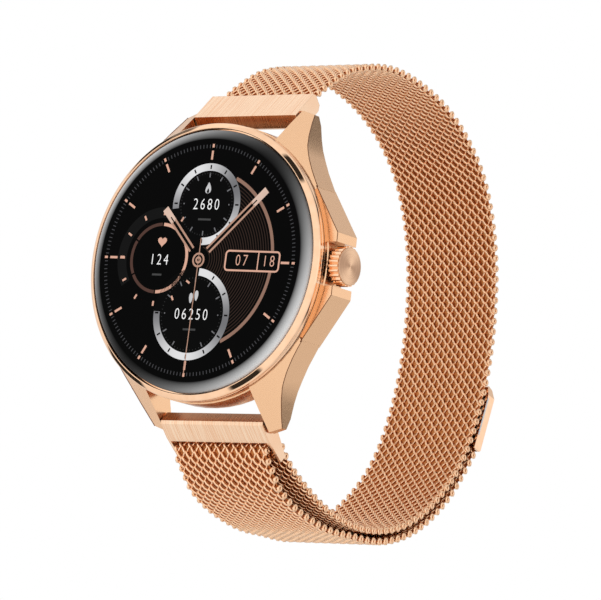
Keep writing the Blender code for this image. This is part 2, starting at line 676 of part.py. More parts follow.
def crown_parts():
    axis = (0, -CROWN_H, 0)
    press = pivot("crown_press_axis", axis)
    keep(ring("crown_tube", TUBE_BORE_R, TUBE_R, TUBE_IN, TUBE_OUT, CROWNWARD, axis, SMALL), STEEL)
    keep(fluted_crown(axis), ROSE_SATIN, press)
    low = CARRIER_OUT - SOCKET_DEPTH + FIT
    high = CROWN_CUP_END + SHAFT_SOCKET - FIT
    keep(disc("crown_shaft", SHAFT_R, low, high, CROWNWARD, axis, TINY), STEEL, press)
    seal_r = (TUBE_R + CROWN_CUP_R) / 2
    seal = (CROWN_CUP_R - TUBE_R) / 2 - SLIP
    profile = [(seal_r + seal * math.cos(t), CROWN_IN + SEAL_INSIDE - seal * math.sin(t))
               for t in (i * math.pi / 4 for i in range(8))]
    keep(turned("crown_o_ring", profile, CROWNWARD, axis, TINY), BLACK_RUBBER, press)
    clip = ring("crown_clip", SHAFT_R + SLIP, CLIP_R, CLIP_IN, CLIP_IN + CLIP_T, CROWNWARD, axis, TINY)
    keep(clip, STEEL, press)
    magnet = ring("encoder_magnet", SHAFT_R + SLIP, MAGNET_R, MAGNET_OUT - MAGNET_T, MAGNET_OUT, CROWNWARD,
                  axis, TINY)
    keep(magnet, STEEL, press)

    carrier_in = CARRIER_OUT - CARRIER_L
    carrier = block("crown_carrier", (carrier_in, -CROWN_H - CARRIER_H / 2, -CARRIER_W / 2),
                    (CARRIER_OUT, -CROWN_H + CARRIER_H / 2, CARRIER_W / 2))
    socket = disc("carrier_socket", SHAFT_R + FIT, CARRIER_OUT - SOCKET_DEPTH, CARRIER_OUT + OVERCUT, CROWNWARD,
                  axis, TINY)
    combine(carrier, "DIFFERENCE", socket)
    keep(carrier, BLACK_PLASTIC, press)
    stem = disc("switch_stem", STEM_R, SWITCH_OUT - STEM_INSIDE, carrier_in - FIT, CROWNWARD, axis, TINY)
    keep(stem, STEEL, press)
    switch_in = SWITCH_OUT - SWITCH_L
    switch = block("push_switch", (switch_in, -CROWN_H - SWITCH_H / 2, -SWITCH_W / 2),
                   (SWITCH_OUT, -CROWN_H + SWITCH_H / 2, SWITCH_W / 2))
    hole = disc("stem_hole", STEM_R + FIT, SWITCH_OUT - STEM_INSIDE - CROWN_TRAVEL - FIT, SWITCH_OUT + OVERCUT,
                CROWNWARD, axis, TINY)
    combine(switch, "DIFFERENCE", hole)
    keep(switch, BLACK_PLASTIC)
    room_side = SWITCH_W / 2 + FIT
    holder_end = CARRIER_OUT + SEAT_GAP
    holder = block("switch_holder", (switch_in, -UNDER_BOARD, -room_side - HOLDER_T),
                   (holder_end, SWITCH_H + HOLDER_T - UNDER_BOARD, room_side + HOLDER_T))
    room = block("holder_room", (switch_in - OVERCUT, HOLDER_ROOF - UNDER_BOARD, -room_side),
                 (holder_end + OVERCUT, CASE_R, room_side))
    combine(holder, "DIFFERENCE", room)
    keep(holder, BLACK_PLASTIC)


# Spring bars, end link and slide ring
def spring_bar(name, up):
    body = LINK_W / 2 - FIT
    tip = LUG_GAP / 2 + PIN_TIP
    profile = [(0, tip), (PIN_TIP_R, tip), (PIN_TIP_R, body), (PIN_R, body), (PIN_R, -body),
               (PIN_TIP_R, -body), (PIN_TIP_R, -tip), (0, -tip)]
    keep(turned(name, profile, CROWNWARD, (0, PIN_Y, up * PIN_Z), TINY, closed=False), STEEL)


def pin_bore(up):
    return disc("pin_bore", PIN_R + FIT, -LINK_W, LINK_W, CROWNWARD, (0, PIN_Y, up * PIN_Z), TINY)


def upper_link(hinge):
    """Makes the link and returns the points where the band starts in its slot."""
    along = numpy.array((math.cos(LINK_ANGLE), math.sin(LINK_ANGLE)))
    across = numpy.array((along[1], -along[0]))
    corner = numpy.array((PIN_Y, PIN_Z)) - LINK_AHEAD * along - LINK_OVER * across
    outline = [(0, 0), (LINK_LENGTH, 0), (LINK_LENGTH + LINK_CHAMFER, LINK_LIP),
               (LINK_LENGTH + LINK_LIP_IN, LINK_T - LINK_LIP), (LINK_LENGTH - LINK_LIP_IN, LINK_T),
               (LINK_CHAMFER, LINK_T), (0, LINK_T - LINK_CHAMFER)]
    link = across_watch("upper_end_link", placed(corner, along, across, outline), LINK_W)
    combine(link, "DIFFERENCE", pin_bore(1))
    back = LINK_LENGTH - LINK_GRIP
    end = LINK_LENGTH + OVERCUT
    slot = [(back, LINK_WALL), (end, LINK_WALL), (end, LINK_T - LINK_WALL), (back, LINK_T - LINK_WALL)]
    slot = across_watch("link_slot", placed(corner, along, across, slot), BAND_W + 2 * FIT)
    combine(link, "DIFFERENCE", slot)
    keep(link, ROSE_SATIN, hinge)
    starts = (back + FIT, LINK_LENGTH, LINK_LENGTH + BAND_LEAD)
    return placed(corner, along, across, [(u, LINK_T / 2) for u in starts])


def slide_ring(hinge):
    """Makes the ring and its far bar, and returns the bar's place and the ring's directions."""
    along = numpy.array((math.cos(RING_ANGLE), math.sin(RING_ANGLE)))
    across = numpy.array((-along[1], along[0]))
    corner = numpy.array((PIN_Y, -PIN_Z)) - RING_ABOVE * along - RING_AHEAD * across
    far_u = RING_BAR_L + SEAT_GAP + BAND_T / 2 + FOLD_R
    middle = RING_BAR_T / 2
    tip = far_u + RING_TIP
    outline = [(RING_SHOULDER, 0), (RING_CHAMFER, 0), (0, RING_CHAMFER), (0, RING_BAR_T - RING_CHAMFER),
               (RING_CHAMFER, RING_BAR_T), (RING_SHOULDER, RING_BAR_T), (tip, middle + RING_END / 2),
               (tip, middle - RING_END / 2)]
    body = across_watch("slide_ring", placed(corner, along, across, outline), LINK_W)
    side = 2 * RING_BAR_T
    slot = [(RING_BAR_L, -side), (RING_BAR_L, side), (tip + OVERCUT, side), (tip + OVERCUT, -side)]
    inside = LINK_W - 2 * RING_LEG_T
    combine(body, "DIFFERENCE", across_watch("ring_slot", placed(corner, along, across, slot), inside))
    combine(body, "DIFFERENCE", pin_bore(-1))
    keep(body, ROSE_SATIN, hinge)
    far = placed(corner, along, across, [(far_u, middle)])[0]
    half = inside / 2 - SLIP
    keep(disc("ring_far_bar", FAR_BAR_R, -half, half, CROWNWARD, (0, *far), TINY), ROSE_POLISHED, hinge)
    return far, along, across


def half_turn(far, along, across):
    """The band's way round the far bar, from the wrist side to the outer side."""
    turns = [math.pi * i / 8 for i in range(9)]
    return [far + FOLD_R * (math.cos(t) * across - math.sin(t) * along) for t in turns]


# Tab: a folded plate that holds the tail's end and two magnets
def magnetic_tab(middle, along, across, hinge):
    half = TAB_LENGTH / 2
    shape = [(-half, TAB_LIFT), (-half, TAB_OUTER - TAB_CHAMFER), (-half + TAB_CHAMFER, TAB_OUTER),
             (half - TAB_NOSE, TAB_OUTER), (half - TAB_CHAMFER, TAB_OUTER - TAB_NOSE_DROP),
             (half, TAB_LIFT + TAB_CHAMFER), (half - TAB_CHAMFER, TAB_LIFT)]
    shell = across_watch("tab_shell", placed(middle, along, across, shape), TAB_W)
    inside = TAB_W - 2 * TAB_WALL
    pocket_end = half - TAB_NOSE - TAB_WALL
    grip_end = TAB_GRIP - half
    open_side = TAB_LIFT - OVERCUT
    for low, high, top, width in (
            (-half - OVERCUT, grip_end + FIT, TAB_OUTER - TAB_SKIN, BAND_W + 2 * FIT),
            (grip_end, pocket_end, TAB_OUTER - TAB_WALL, inside)):
        room = [(low, open_side), (high, open_side), (high, top), (low, top)]
        combine(shell, "DIFFERENCE", across_watch("tab_room", placed(middle, along, across, room), width))
    keep(shell, ROSE_POLISHED, hinge)
    start = grip_end + 2 * FIT
    end = pocket_end - FIT
    top = TAB_LIFT + TAB_PLATE_T
    inner = [(start, TAB_LIFT), (end, TAB_LIFT), (end, top), (start, top)]
    keep(across_watch("tab_plate", placed(middle, along, across, inner), inside - 2 * FIT), STEEL, hinge)
    wide, thick, long = TAB_MAGNET
    low = top + SLIP
    start += FIT
    edge = [(start, low), (start + long, low), (start + long, low + thick), (start, low + thick)]
    edge = placed(middle, along, across, edge)
    for number, (low, high) in enumerate(((-FIT - wide, -FIT), (FIT, FIT + wide)), 1):
        keep(plate("tab_magnet_%d" % number, edge, EDGEWISE, low, high), STEEL, hinge)


def tail_route(route, fold, ring_along, tab_middle, tab_along, tab_side):
    """From the fold over the band's lower run and up to the tab's grip."""
    covered = []
    for point, side in list(zip(route, outward(route)))[::-1]:
        past_merge = point[0] > TAIL_ROUTE[-1][0] * MM + TAIL_MERGE
        if past_merge and point[1] < tab_middle[1] - TAB_LENGTH / 2 - TAB_LEAD:
            covered.append(point + LAYER_STEP * side)
    entry = [(-TAB_LENGTH / 2 - OVERCUT, LAYER_STEP - TAB_SINK), (TAB_GRIP - TAB_LENGTH / 2 - FIT, LAYER_STEP)]
    lead = [fold[-1], fold[-1] + FOLD_LEAD_OUT * ring_along] + drawn_route(TAIL_ROUTE)
    return smooth(lead + covered[::2] + placed(tab_middle, tab_along, tab_side, entry), BAND_STEP)


def strap():
    upper_hinge = pivot("upper_link_axis", (0, PIN_Y, PIN_Z))
    ring_hinge = pivot("slide_ring_axis", (0, PIN_Y, -PIN_Z))
    spring_bar("upper_spring_bar", 1)
    spring_bar("lower_spring_bar", -1)
    start = upper_link(upper_hinge)
    far, along, across = slide_ring(ring_hinge)
    fold = half_turn(far, along, across)
    route = smooth(start + drawn_route(ROUTE) + [fold[0] + FOLD_LEAD_IN * along, fold[0]], BAND_STEP)
    total = lengths(route)[-1]
    stops = (UPPER_RUN, UPPER_RUN + BACK_RUN, total - FOLD_RUN)
    band("band_upper", between(route, 0, stops[0] - FIT), upper_hinge)
    band("band_back", between(route, stops[0] + FIT, stops[1] - FIT))
    band("band_lower", between(route, stops[1] + FIT, stops[2] - FIT))

    fine = smooth(list(route), FIT)
    tab_z = TAB_Z * PIN_Z / ROUTE_PIN_Z
    tab_at = numpy.argmin(numpy.where(fine[:, 0] > PIN_Z, abs(fine[:, 1] - tab_z), 1))
    tab_middle = fine[tab_at]
    tab_side = outward(fine)[tab_at]
    tab_along = numpy.array((-tab_side[1], tab_side[0]))
    tail = tail_route(route, fold, along, tab_middle, tab_along, tab_side)
    tail_end = lengths(tail)[-1]
    turn = [between(route, stops[2] + FIT, total), fold[1:-1], between(tail, 0, FOLD_RUN - FIT)]
    band("band_fold", numpy.concatenate(turn), ring_hinge)
    cuts = [FOLD_RUN, FOLD_RUN + TAIL_RUNS[0], FOLD_RUN + sum(TAIL_RUNS)]
    ends = [cuts[1] - FIT, cuts[2] - FIT, tail_end]
    for number, (cut, end) in enumerate(zip(cuts, ends), 1):
        first = between(tail, cut, cut + BAND_STEP)
        axis = first[0] - outward(first)[0] * BAND_T / 2
        hinge = pivot("tail_axis_%d" % number, (0, *axis))
        band("tail_%d" % number, between(tail, cut + FIT, end), hinge)
        print("tail hinge", number, [round(float(v) / MM, 3) for v in axis])
    magnetic_tab(tab_middle, tab_along, tab_side, hinge)
    print("band", round(float(total) / MM, 1), "tail", round(float(tail_end) / MM, 1), "mm")


case_middle()
glass_stack()
inner_stack()
case_back()
crown_parts()
strap()
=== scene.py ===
# %% [markdown]
# # A round smartwatch on a woven steel strap
# The CAD model fixes where every part is and how it moves. This lesson dresses it: each visible part is
# modelled again with finer edges, or keeps its CAD shape and gets a better finish. Lengths are metres; the
# dial, the turned profiles and the strap's route are drawn in millimetres.

# %% Frame
import math

import bmesh
import bpy
import numpy
from mathutils import Matrix, Vector


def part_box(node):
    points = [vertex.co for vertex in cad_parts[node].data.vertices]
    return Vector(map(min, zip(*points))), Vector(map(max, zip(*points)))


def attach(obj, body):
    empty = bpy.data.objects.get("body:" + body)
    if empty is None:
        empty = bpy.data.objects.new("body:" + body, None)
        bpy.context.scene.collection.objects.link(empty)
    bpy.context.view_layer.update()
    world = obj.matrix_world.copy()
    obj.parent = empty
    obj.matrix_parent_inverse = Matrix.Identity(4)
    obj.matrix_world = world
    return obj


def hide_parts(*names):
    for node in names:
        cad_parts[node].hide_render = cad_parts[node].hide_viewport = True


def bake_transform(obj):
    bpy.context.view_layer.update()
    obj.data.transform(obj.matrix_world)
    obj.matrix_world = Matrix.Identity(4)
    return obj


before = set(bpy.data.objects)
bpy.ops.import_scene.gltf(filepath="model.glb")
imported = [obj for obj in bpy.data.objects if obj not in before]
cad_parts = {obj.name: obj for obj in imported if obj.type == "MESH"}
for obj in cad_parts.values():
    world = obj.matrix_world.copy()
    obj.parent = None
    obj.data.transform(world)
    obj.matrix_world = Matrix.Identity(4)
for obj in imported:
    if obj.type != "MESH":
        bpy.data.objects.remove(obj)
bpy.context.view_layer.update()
MM = 0.001

# %% [markdown]
# ## Camera
# A product picture is taken with a long lens from far away, so that round things stay round. The camera
# comes first, because every other choice is judged through it. Its three directions were solved from the
# ellipse of the dial and the width of the strap; it looks up a little, and is rolled by a few degrees.

# %% Camera
EYE = Vector((0.4757, -0.6429, -0.1182))
VIEW_RIGHT = Vector((0.8155, 0.5695, 0.1030)).normalized()
VIEW_UP = Vector((-0.0017, -0.1756, 0.9845)).normalized()
LENS = 311.7
SENSOR_WIDTH = 36


def fresh(operator, **settings):
    """Adds one thing with nothing else selected."""
    bpy.ops.object.select_all(action="DESELECT")
    operator(**settings)
    return bpy.context.object


camera = fresh(bpy.ops.object.camera_add)
turned_to = Matrix((VIEW_RIGHT, VIEW_UP, VIEW_RIGHT.cross(VIEW_UP))).transposed()
camera.matrix_world = Matrix.Translation(EYE) @ turned_to.to_4x4()
camera.data.lens = LENS
camera.data.sensor_width = SENSOR_WIDTH
bpy.context.scene.camera = camera
bpy.context.scene.view_settings.view_transform = "Standard"
print("camera", round(EYE.length, 3), "m from the watch")

# %% [markdown]
# ## Studio
# Metal has hardly any colour of its own: it shows the room. A white room would make it flat, so a
# photographer hangs dark cards and bright soft boxes in it, and their edges draw the shape of polished
# parts. Here the room is the world. Rays that come from the camera see plain white, and rays that come off
# metal see white with a few cards in it. A card is a direction with a width, so it costs no geometry and
# throws no shadow.

# %% Helpers that add shader nodes
def fill(tree, node, inputs):
    """Sets a node's inputs, and links those whose value is a socket."""
    for key, value in inputs.items():
        if isinstance(value, bpy.types.NodeSocket):
            tree.links.new(value, node.inputs[key])
        else:
            node.inputs[key].default_value = value


def add(tree, kind, inputs=None, **settings):
    """Adds a node, sets its fields and fills its inputs."""
    made = tree.nodes.new("ShaderNode" + kind)
    for key, value in settings.items():
        setattr(made, key, value)
    fill(tree, made, inputs or {})
    return made


def maths(tree, operation, *values):
    """The result of a Math node."""
    return add(tree, "Math", dict(enumerate(values)), operation=operation).outputs[0]


def vectors(tree, operation, *values):
    """The result of a Vector Math node, which is a number for a length or a dot product."""
    made = add(tree, "VectorMath", dict(enumerate(values)), operation=operation)
    return made.outputs["Value" if operation in ("LENGTH", "DOT_PRODUCT") else "Vector"]


def remap(tree, value, taken=(0, 1), given=(0, 1), **settings):
    """A value moved from one range to another."""
    ends = {"From Min": taken[0], "From Max": taken[1], "To Min": given[0], "To Max": given[1]}
    return add(tree, "MapRange", {"Value": value, **ends}, **settings).outputs[0]


def started(name):
    """A new material, its node tree and its shader."""
    made = bpy.data.materials.new(name)
    made.use_nodes = True
    return made, made.node_tree, made.node_tree.nodes["Principled BSDF"]


# %% World with cards
WHITE = (1, 1, 1, 1)
ROOM_LIGHT = 0.85
FRONT_LIGHT = 1.20
BACK_LIGHT = 0.75
# direction to the middle of each card, half its width and half its soft edge in degrees, and its shade: the
# light of the room is multiplied by it, so a card above 1 is a soft box
CARDS = [((-0.81, 0.16, 0.57), 12, 2, 0.03), ((0.14, -0.53, 0.84), 9, 2, 0.03),
         ((-0.06, -0.61, -0.79), 10, 2, 0.03), ((-0.94, 0.01, -0.33), 11, 2, 0.03),
         ((0.36, 0.34, 0.87), 10, 4, 0.05), ((0.60, 0.22, -0.77), 10, 4, 0.05),
         ((0.36, 0.76, 0.54), 9, 6, 0.15), ((0.57, 0.79, -0.22), 8, 6, 0.15),
         ((0.58, 0.80, 0.13), 12, 5, 1.4)]

world = bpy.data.worlds.new("studio")
bpy.context.scene.world = world
world.use_nodes = True
room = world.node_tree
room.nodes.clear()
facing = add(room, "TexCoord").outputs["Generated"]
aside = add(room, "SeparateXYZ", {0: facing}).outputs["Y"]
light_left = remap(room, aside, (-1, 1), (FRONT_LIGHT, BACK_LIGHT))
for direction, half_width, soft, shade in CARDS:
    aim = vectors(room, "DOT_PRODUCT", facing, Vector(direction).normalized())
    edge = [math.cos(math.radians(half_width + side * soft)) for side in (1, -1)]
    open_part = remap(room, aim, edge, (1, shade), interpolation_type="SMOOTHSTEP")
    light_left = maths(room, "MULTIPLY", light_left, open_part)
path = add(room, "LightPath").outputs
seen_white = maths(room, "MAXIMUM", path["Is Camera Ray"], path["Is Transmission Ray"])
plain, cards, white = (add(room, "Background", {"Color": WHITE, "Strength": strength}).outputs[0]
                       for strength in (ROOM_LIGHT, light_left, 1))
off_metal = add(room, "MixShader", {0: path["Is Glossy Ray"], 1: plain, 2: cards}).outputs[0]
shown = add(room, "MixShader", {0: seen_white, 1: off_metal, 2: white}).outputs[0]
add(room, "OutputWorld", {"Surface": shown})
print("studio with", len(CARDS), "cards")

# %% [markdown]
# ## Floor and lamps
# The watch is shown as a wrist would hold it, so the floor lies lower, below the camera. Metal looks
# through it at the room, so that the cards below it show too. Nearly all the light comes from the room; two
# wide and very weak lamps, one high on the left and one on the right, add a trace to it.

# %% Floor
FLOOR_Z = -0.15
FLOOR_SIZE = 8
PALE = (0.93, 0.93, 0.93, 1)
floor = fresh(bpy.ops.mesh.primitive_plane_add, size=FLOOR_SIZE, location=(0, 0, FLOOR_Z))
floor.name = "floor"
paper, tree, _ = started("pale_floor")
tree.nodes.clear()
path = add(tree, "LightPath").outputs
bare = maths(tree, "MAXIMUM", path["Is Glossy Ray"], path["Is Transmission Ray"])
matte = add(tree, "BsdfDiffuse", {"Color": PALE}).outputs[0]
unseen = add(tree, "BsdfTransparent").outputs[0]
mixed = add(tree, "MixShader", {0: bare, 1: matte, 2: unseen}).outputs[0]
add(tree, "OutputMaterial", {"Surface": mixed})
floor.data.materials.append(paper)

# %% Lamps
# name, direction, distance and size in metres, and power in watts
LAMPS = [("key", (-0.58, 0.14, 0.80), 1.3, 0.75, 0.3), ("fill", (0.93, -0.33, 0.14), 1.4, 0.7, 0.3)]
for name, direction, distance, size, power in LAMPS:
    place = Vector(direction).normalized() * distance
    bpy.ops.object.light_add(type="AREA", location=place)
    lamp = bpy.context.object
    lamp.name = name
    lamp.data.size = size
    lamp.data.energy = power
    lamp.rotation_euler = place.to_track_quat("Z", "Y").to_euler()
print("floor at", FLOOR_Z, "m and", len(LAMPS), "lamps")

# %% [markdown]
# ## Finishes
# The metal is steel with a thin rose-gold layer. Four treatments of it are on the watch: a satin case
# blasted with fine beads, mirror-polished edges, brushed bars, and drawn wire. Each one is a metal shader
# whose colour, roughness and bump follow a noise. They differ in colours, in roughness and in the size and
# stretch of the noise, so one function makes them all. The noise reads Object coordinates, so it stays put
# when a part moves.

# %% Metal finishes
def ramp(tree, factor, stops):
    """A colour ramp through (position, colour) stops."""
    made = add(tree, "ValToRGB", {"Fac": factor})
    band = made.color_ramp
    while len(band.elements) < len(stops):
        band.elements.new(0.5)
    for element, (position, colour) in zip(band.elements, stops):
        element.position = position
        element.color = (*colour, 1)
    return made.outputs["Color"]


COLOUR_SPAN = (0.32, 0.68)
ROUGH_SPAN = (0.3, 0.7)
GRAIN_DETAIL = 3
RELIEF = 0.02 * MM


def metal(name, dark, light, grain, rough, bump, stretch=(1, 1, 1)):
    """A metal whose colour, roughness and bump follow one noise, drawn out by stretch."""
    made, tree, shader = started(name)
    place = add(tree, "TexCoord").outputs["Object"]
    place = add(tree, "Mapping", {"Vector": place, "Scale": stretch}).outputs[0]
    noise = add(tree, "TexNoise", {"Vector": place, "Scale": grain, "Detail": GRAIN_DETAIL}).outputs["Fac"]
    relief = add(tree, "Bump", {"Height": noise, "Strength": bump, "Distance": RELIEF}).outputs[0]
    fill(tree, shader, {"Metallic": 1, "Base Color": ramp(tree, noise, list(zip(COLOUR_SPAN, (dark, light)))),
                        "Roughness": remap(tree, noise, ROUGH_SPAN, rough), "Normal": relief})
    return made


ROSE_DARK = (0.80, 0.47, 0.285)
ROSE = (0.90, 0.57, 0.36)
satin_rose = metal("satin_rose", (0.86, 0.52, 0.30), (0.93, 0.58, 0.345), 7000, (0.20, 0.30), 0.04)
polished_rose = metal("polished_rose", ROSE, (0.94, 0.62, 0.41), 900, (0.02, 0.04), 0.01)
BRUSHED = (1, 0.02, 0.02)
brushed_rose = metal("brushed_rose", ROSE_DARK, (1.0, 0.76, 0.55), 4200, (0.16, 0.40), 0.5, BRUSHED)
# painted shade: a darker brushed finish for faces that lie in the shade of the case
brushed_painted_shade = metal("brushed_painted_shade", (0.34, 0.15, 0.07), (0.56, 0.27, 0.14), 4200, (0.20, 0.40), 0.5,
                      BRUSHED)
wire_rose = metal("wire_rose", (0.88, 0.52, 0.30), (0.98, 0.66, 0.43), 2500, (0.12, 0.22), 0.05)
# painted reflection: the dark colour of the thin lines along the lug edges
painted_edge_reflection = metal("painted_edge_reflection", (0.16, 0.06, 0.025), (0.22, 0.09, 0.04), 3000, (0.3, 0.4), 0.02)
# painted shade: the dark colour of the inner ribbon, for the shade deep in the weave
core_rose = metal("core_rose", (0.40, 0.13, 0.035), (0.58, 0.22, 0.07), 3000, (0.35, 0.5), 0.2)
print("metal finishes", [m.name for m in (satin_rose, polished_rose, brushed_rose, wire_rose)])

# %% [markdown]
# ## Helpers for modelling
# Most parts of a watch come off a lathe. Its profile is drawn as a ring of vertices, put in place one by
# one, and spun round the axis. Spinning leaves doubled vertices at the seam and on the axis, so they are
# merged and the faces are turned outwards again. Other parts start from a copy of their CAD mesh with the
# edges rounded.

# %% Selecting, turning and settling
WELD = 0.001 * MM
FULL_TURN = 2 * math.pi
FRONTWARD = (math.pi / 2, 0, 0)
CROWNWARD = (0, math.pi / 2, 0)
SMOOTH_ANGLE = math.radians(32)
FLAT_ANGLE = math.radians(0.5)


def alone(*things):
    """Selects only these objects and makes the last one active."""
    bpy.ops.object.select_all(action="DESELECT")
    for thing in things:
        thing.select_set(True)
    bpy.context.view_layer.objects.active = things[-1]


def linked(name, data):
    """A new object for some data, in the scene and alone in the selection."""
    thing = bpy.data.objects.new(name, data)
    bpy.context.scene.collection.objects.link(thing)
    alone(thing)
    return thing


def edit_all():
    """Enters edit mode with everything selected."""
    bpy.ops.object.mode_set(mode="EDIT")
    bpy.ops.mesh.select_all(action="SELECT")


def eased(corners, steps=4):
    """Rounds each (across, up, ease) corner of a closed outline in millimetres with a short curve."""
    outline = []
    for i, (across, up, ease) in enumerate(corners):
        here = Vector((across, up))
        before, after = ((Vector(corners[j % len(corners)][:2]) - here).normalized() for j in (i - 1, i + 1))
        for t in [j / steps for j in range(steps + 1)] if ease else [0]:
            outline.append(MM * (here + ease * (1 - t) ** 2 * before + ease * t ** 2 * after))
    return outline


def turned(profile, facing, at=(0, 0, 0), steps=120):
    """Spins a closed outline of (radius, height) points about the axis that facing sets."""
    thing = fresh(bpy.ops.mesh.primitive_circle_add, vertices=len(profile))
    for vertex, (radius, height) in zip(thing.data.vertices, profile):
        vertex.co = (radius, 0, height)
    edit_all()
    bpy.ops.mesh.spin(steps=steps, angle=FULL_TURN, center=(0, 0, 0), axis=(0, 0, 1))
    tidy()
    thing.rotation_euler = facing
    thing.location = at
    alone(thing)
    bpy.ops.object.transform_apply(location=True, rotation=True, scale=True)
    bpy.ops.object.shade_smooth_by_angle(angle=SMOOTH_ANGLE)
    return thing


def tidy():
    """Merges doubles, drops flat slivers and turns faces outwards; leaves edit mode."""
    bpy.ops.mesh.select_all(action="SELECT")
    bpy.ops.mesh.remove_doubles(threshold=WELD)
    bpy.ops.mesh.dissolve_degenerate(threshold=WELD)
    bpy.ops.mesh.select_all(action="SELECT")
    bpy.ops.mesh.delete_loose()
    bpy.ops.mesh.select_all(action="SELECT")
    bpy.ops.mesh.normals_make_consistent(inside=False)
    bpy.ops.object.mode_set(mode="OBJECT")


def merged_copy(name, node):
    """A copy of a CAD node's mesh with its loose triangles merged; stays in edit mode."""
    thing = linked(name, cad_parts[node].data.copy())
    bpy.ops.mesh.customdata_custom_splitnormals_clear()
    edit_all()
    bpy.ops.mesh.remove_doubles(threshold=WELD)
    return thing


def softened(node, width, steps=2):
    """A merged copy of a CAD node's mesh with its sharp edges rounded."""
    thing = merged_copy(node, node)
    bpy.ops.mesh.dissolve_limited(angle_limit=FLAT_ANGLE)
    bpy.ops.object.mode_set(mode="OBJECT")
    bpy.ops.object.shade_smooth()
    round_edges = thing.modifiers.new("round_edges", "BEVEL")
    round_edges.limit_method = "ANGLE"
    round_edges.angle_limit = SMOOTH_ANGLE
    round_edges.width = width
    round_edges.segments = steps
    round_edges.harden_normals = True
    bpy.ops.object.modifier_apply(modifier=round_edges.name)
    even = thing.modifiers.new("even_shading", "WEIGHTED_NORMAL")
    even.keep_sharp = True
    bpy.ops.object.modifier_apply(modifier=even.name)
    return thing


def settle(thing, name, body, slot, finish, *nodes):
    """Names a finished piece, gives it its finish and lets it ride on a body."""
    thing.name = name
    thing.data.name = name
    thing.data.materials.clear()
    thing.data.materials.append(finish)
    if body:
        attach(thing, body)
    if nodes:
        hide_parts(*nodes)
    print(name, len(thing.data.polygons), "faces", [round(v / MM, 2) for v in thing.dimensions], "mm")
    return thing


# %% [markdown]
# ## Case
# The case middle is one block of steel: a turned ring, four lugs that slope away from the dial, and two
# guards beside the crown. The CAD solid already has that shape, so a copy of it is enough, once its edges
# are broken as a file would break them. Where the front of a lug meets its flank, a thin dark line follows
# the edge: the edges between those faces are kept from another copy, made a curve and given a round
# section. The line is painted reflection, the dark band that the rounded edge shows there.

# %% Case middle
CASE_EDGE = 0.22 * MM
case = softened("case_middle", CASE_EDGE, 3)
settle(case, "case_body", "watch", "satin_rose", satin_rose, "case_middle")

# %% Lines along the lugs
# the dark lines are painted reflection along the rounded edges of the lugs
LUG_FROM = 21.9 * MM
LINE_GAUGE = 0.13 * MM
# how a face's normal lies in Y and X when it is the front of a lug, or its flank
FRONT_Y = -0.6
FLANK_Y = 0.1
FLANK_X = 0.75
lines = merged_copy("lug_lines", "case_middle")
shape = bmesh.from_edit_mesh(lines.data)
dropped = []
for edge in shape.edges:
    root = edge.verts[0].co
    ways = [face.normal for face in edge.link_faces]
    front = any(way.y < FRONT_Y for way in ways)
    flank = any(abs(way.y) < FLANK_Y and abs(way.x) > FLANK_X and way.x * root.x > 0 for way in ways)
    if not (front and flank and root.xz.length > LUG_FROM):
        dropped.append(edge)
bmesh.ops.delete(shape, geom=dropped, context="EDGES")
bmesh.update_edit_mesh(lines.data)
bpy.ops.object.mode_set(mode="OBJECT")
bpy.ops.object.convert(target="CURVE")
lines = bpy.context.object
lines.data.bevel_depth = LINE_GAUGE / 2
lines.data.bevel_resolution = 1
lines.data.use_fill_caps = True
bpy.ops.object.convert(target="MESH")
settle(bpy.context.object, "lug_lines", "watch", "satin_rose", painted_edge_reflection)

# %% [markdown]
# ## Bezel
# A polished ring holds the glass: a thin bead next to the glass, a cone that falls away, and a short wall
# with a fine line turned into it. It is lathe work, so its profile is drawn and spun.

# %% Bezel ring
LATHE_STEPS = 180
# radius, height and easing of each corner, in millimetres
BEZEL_PROFILE = [(20.99, 9.86, 0.05), (21.62, 9.385, 0.08), (21.76, 9.2, 0.08), (21.76, 8.72, 0.03),
                 (21.68, 8.68, 0), (21.68, 8.62, 0), (21.76, 8.58, 0.03), (21.76, 8.2, 0.05), (19.25, 8.2, 0),
                 (19.25, 8.65, 0), (20.8, 8.65, 0), (20.8, 9.72, 0.1), (20.9, 9.86, 0.08)]
bezel = turned(eased(BEZEL_PROFILE), FRONTWARD, steps=LATHE_STEPS)
settle(bezel, "bezel_ring", "watch", "polished_rose", polished_rose, "bezel")

# %% [markdown]
# ## Glass
# The cover glass is printed black on its underside and its edge is rolled down to the bezel. Seen from
# outside it is a black mirror, so the piece is opaque: one turned solid with a smooth elliptical edge. The
# silver on the rolled edge is painted reflection: a gradient over the radius in its colour, brightest
# towards two opposite sides.

# %% Cover glass
GLASS_TOP = 10.6 * MM
GLASS_R = 20.6 * MM
ROLL_W = 1.7 * MM
ROLL_H = 1.1 * MM
GLASS_FOOT = 9.2 * MM
GLASS_UNDER = 9.7 * MM
FOOT_R = 19.5 * MM
UNDER_R = 19.1 * MM
ROLL_STEPS = 20

profile = [(0, GLASS_TOP)]
for i in range(ROLL_STEPS + 1):
    turn = i * math.pi / 2 / ROLL_STEPS
    profile.append((GLASS_R - ROLL_W + ROLL_W * math.sin(turn), GLASS_TOP - ROLL_H + ROLL_H * math.cos(turn)))
profile += [(GLASS_R, GLASS_FOOT), (FOOT_R, GLASS_FOOT), (UNDER_R, GLASS_UNDER), (0, GLASS_UNDER)]
glass = turned(profile, FRONTWARD, steps=LATHE_STEPS)
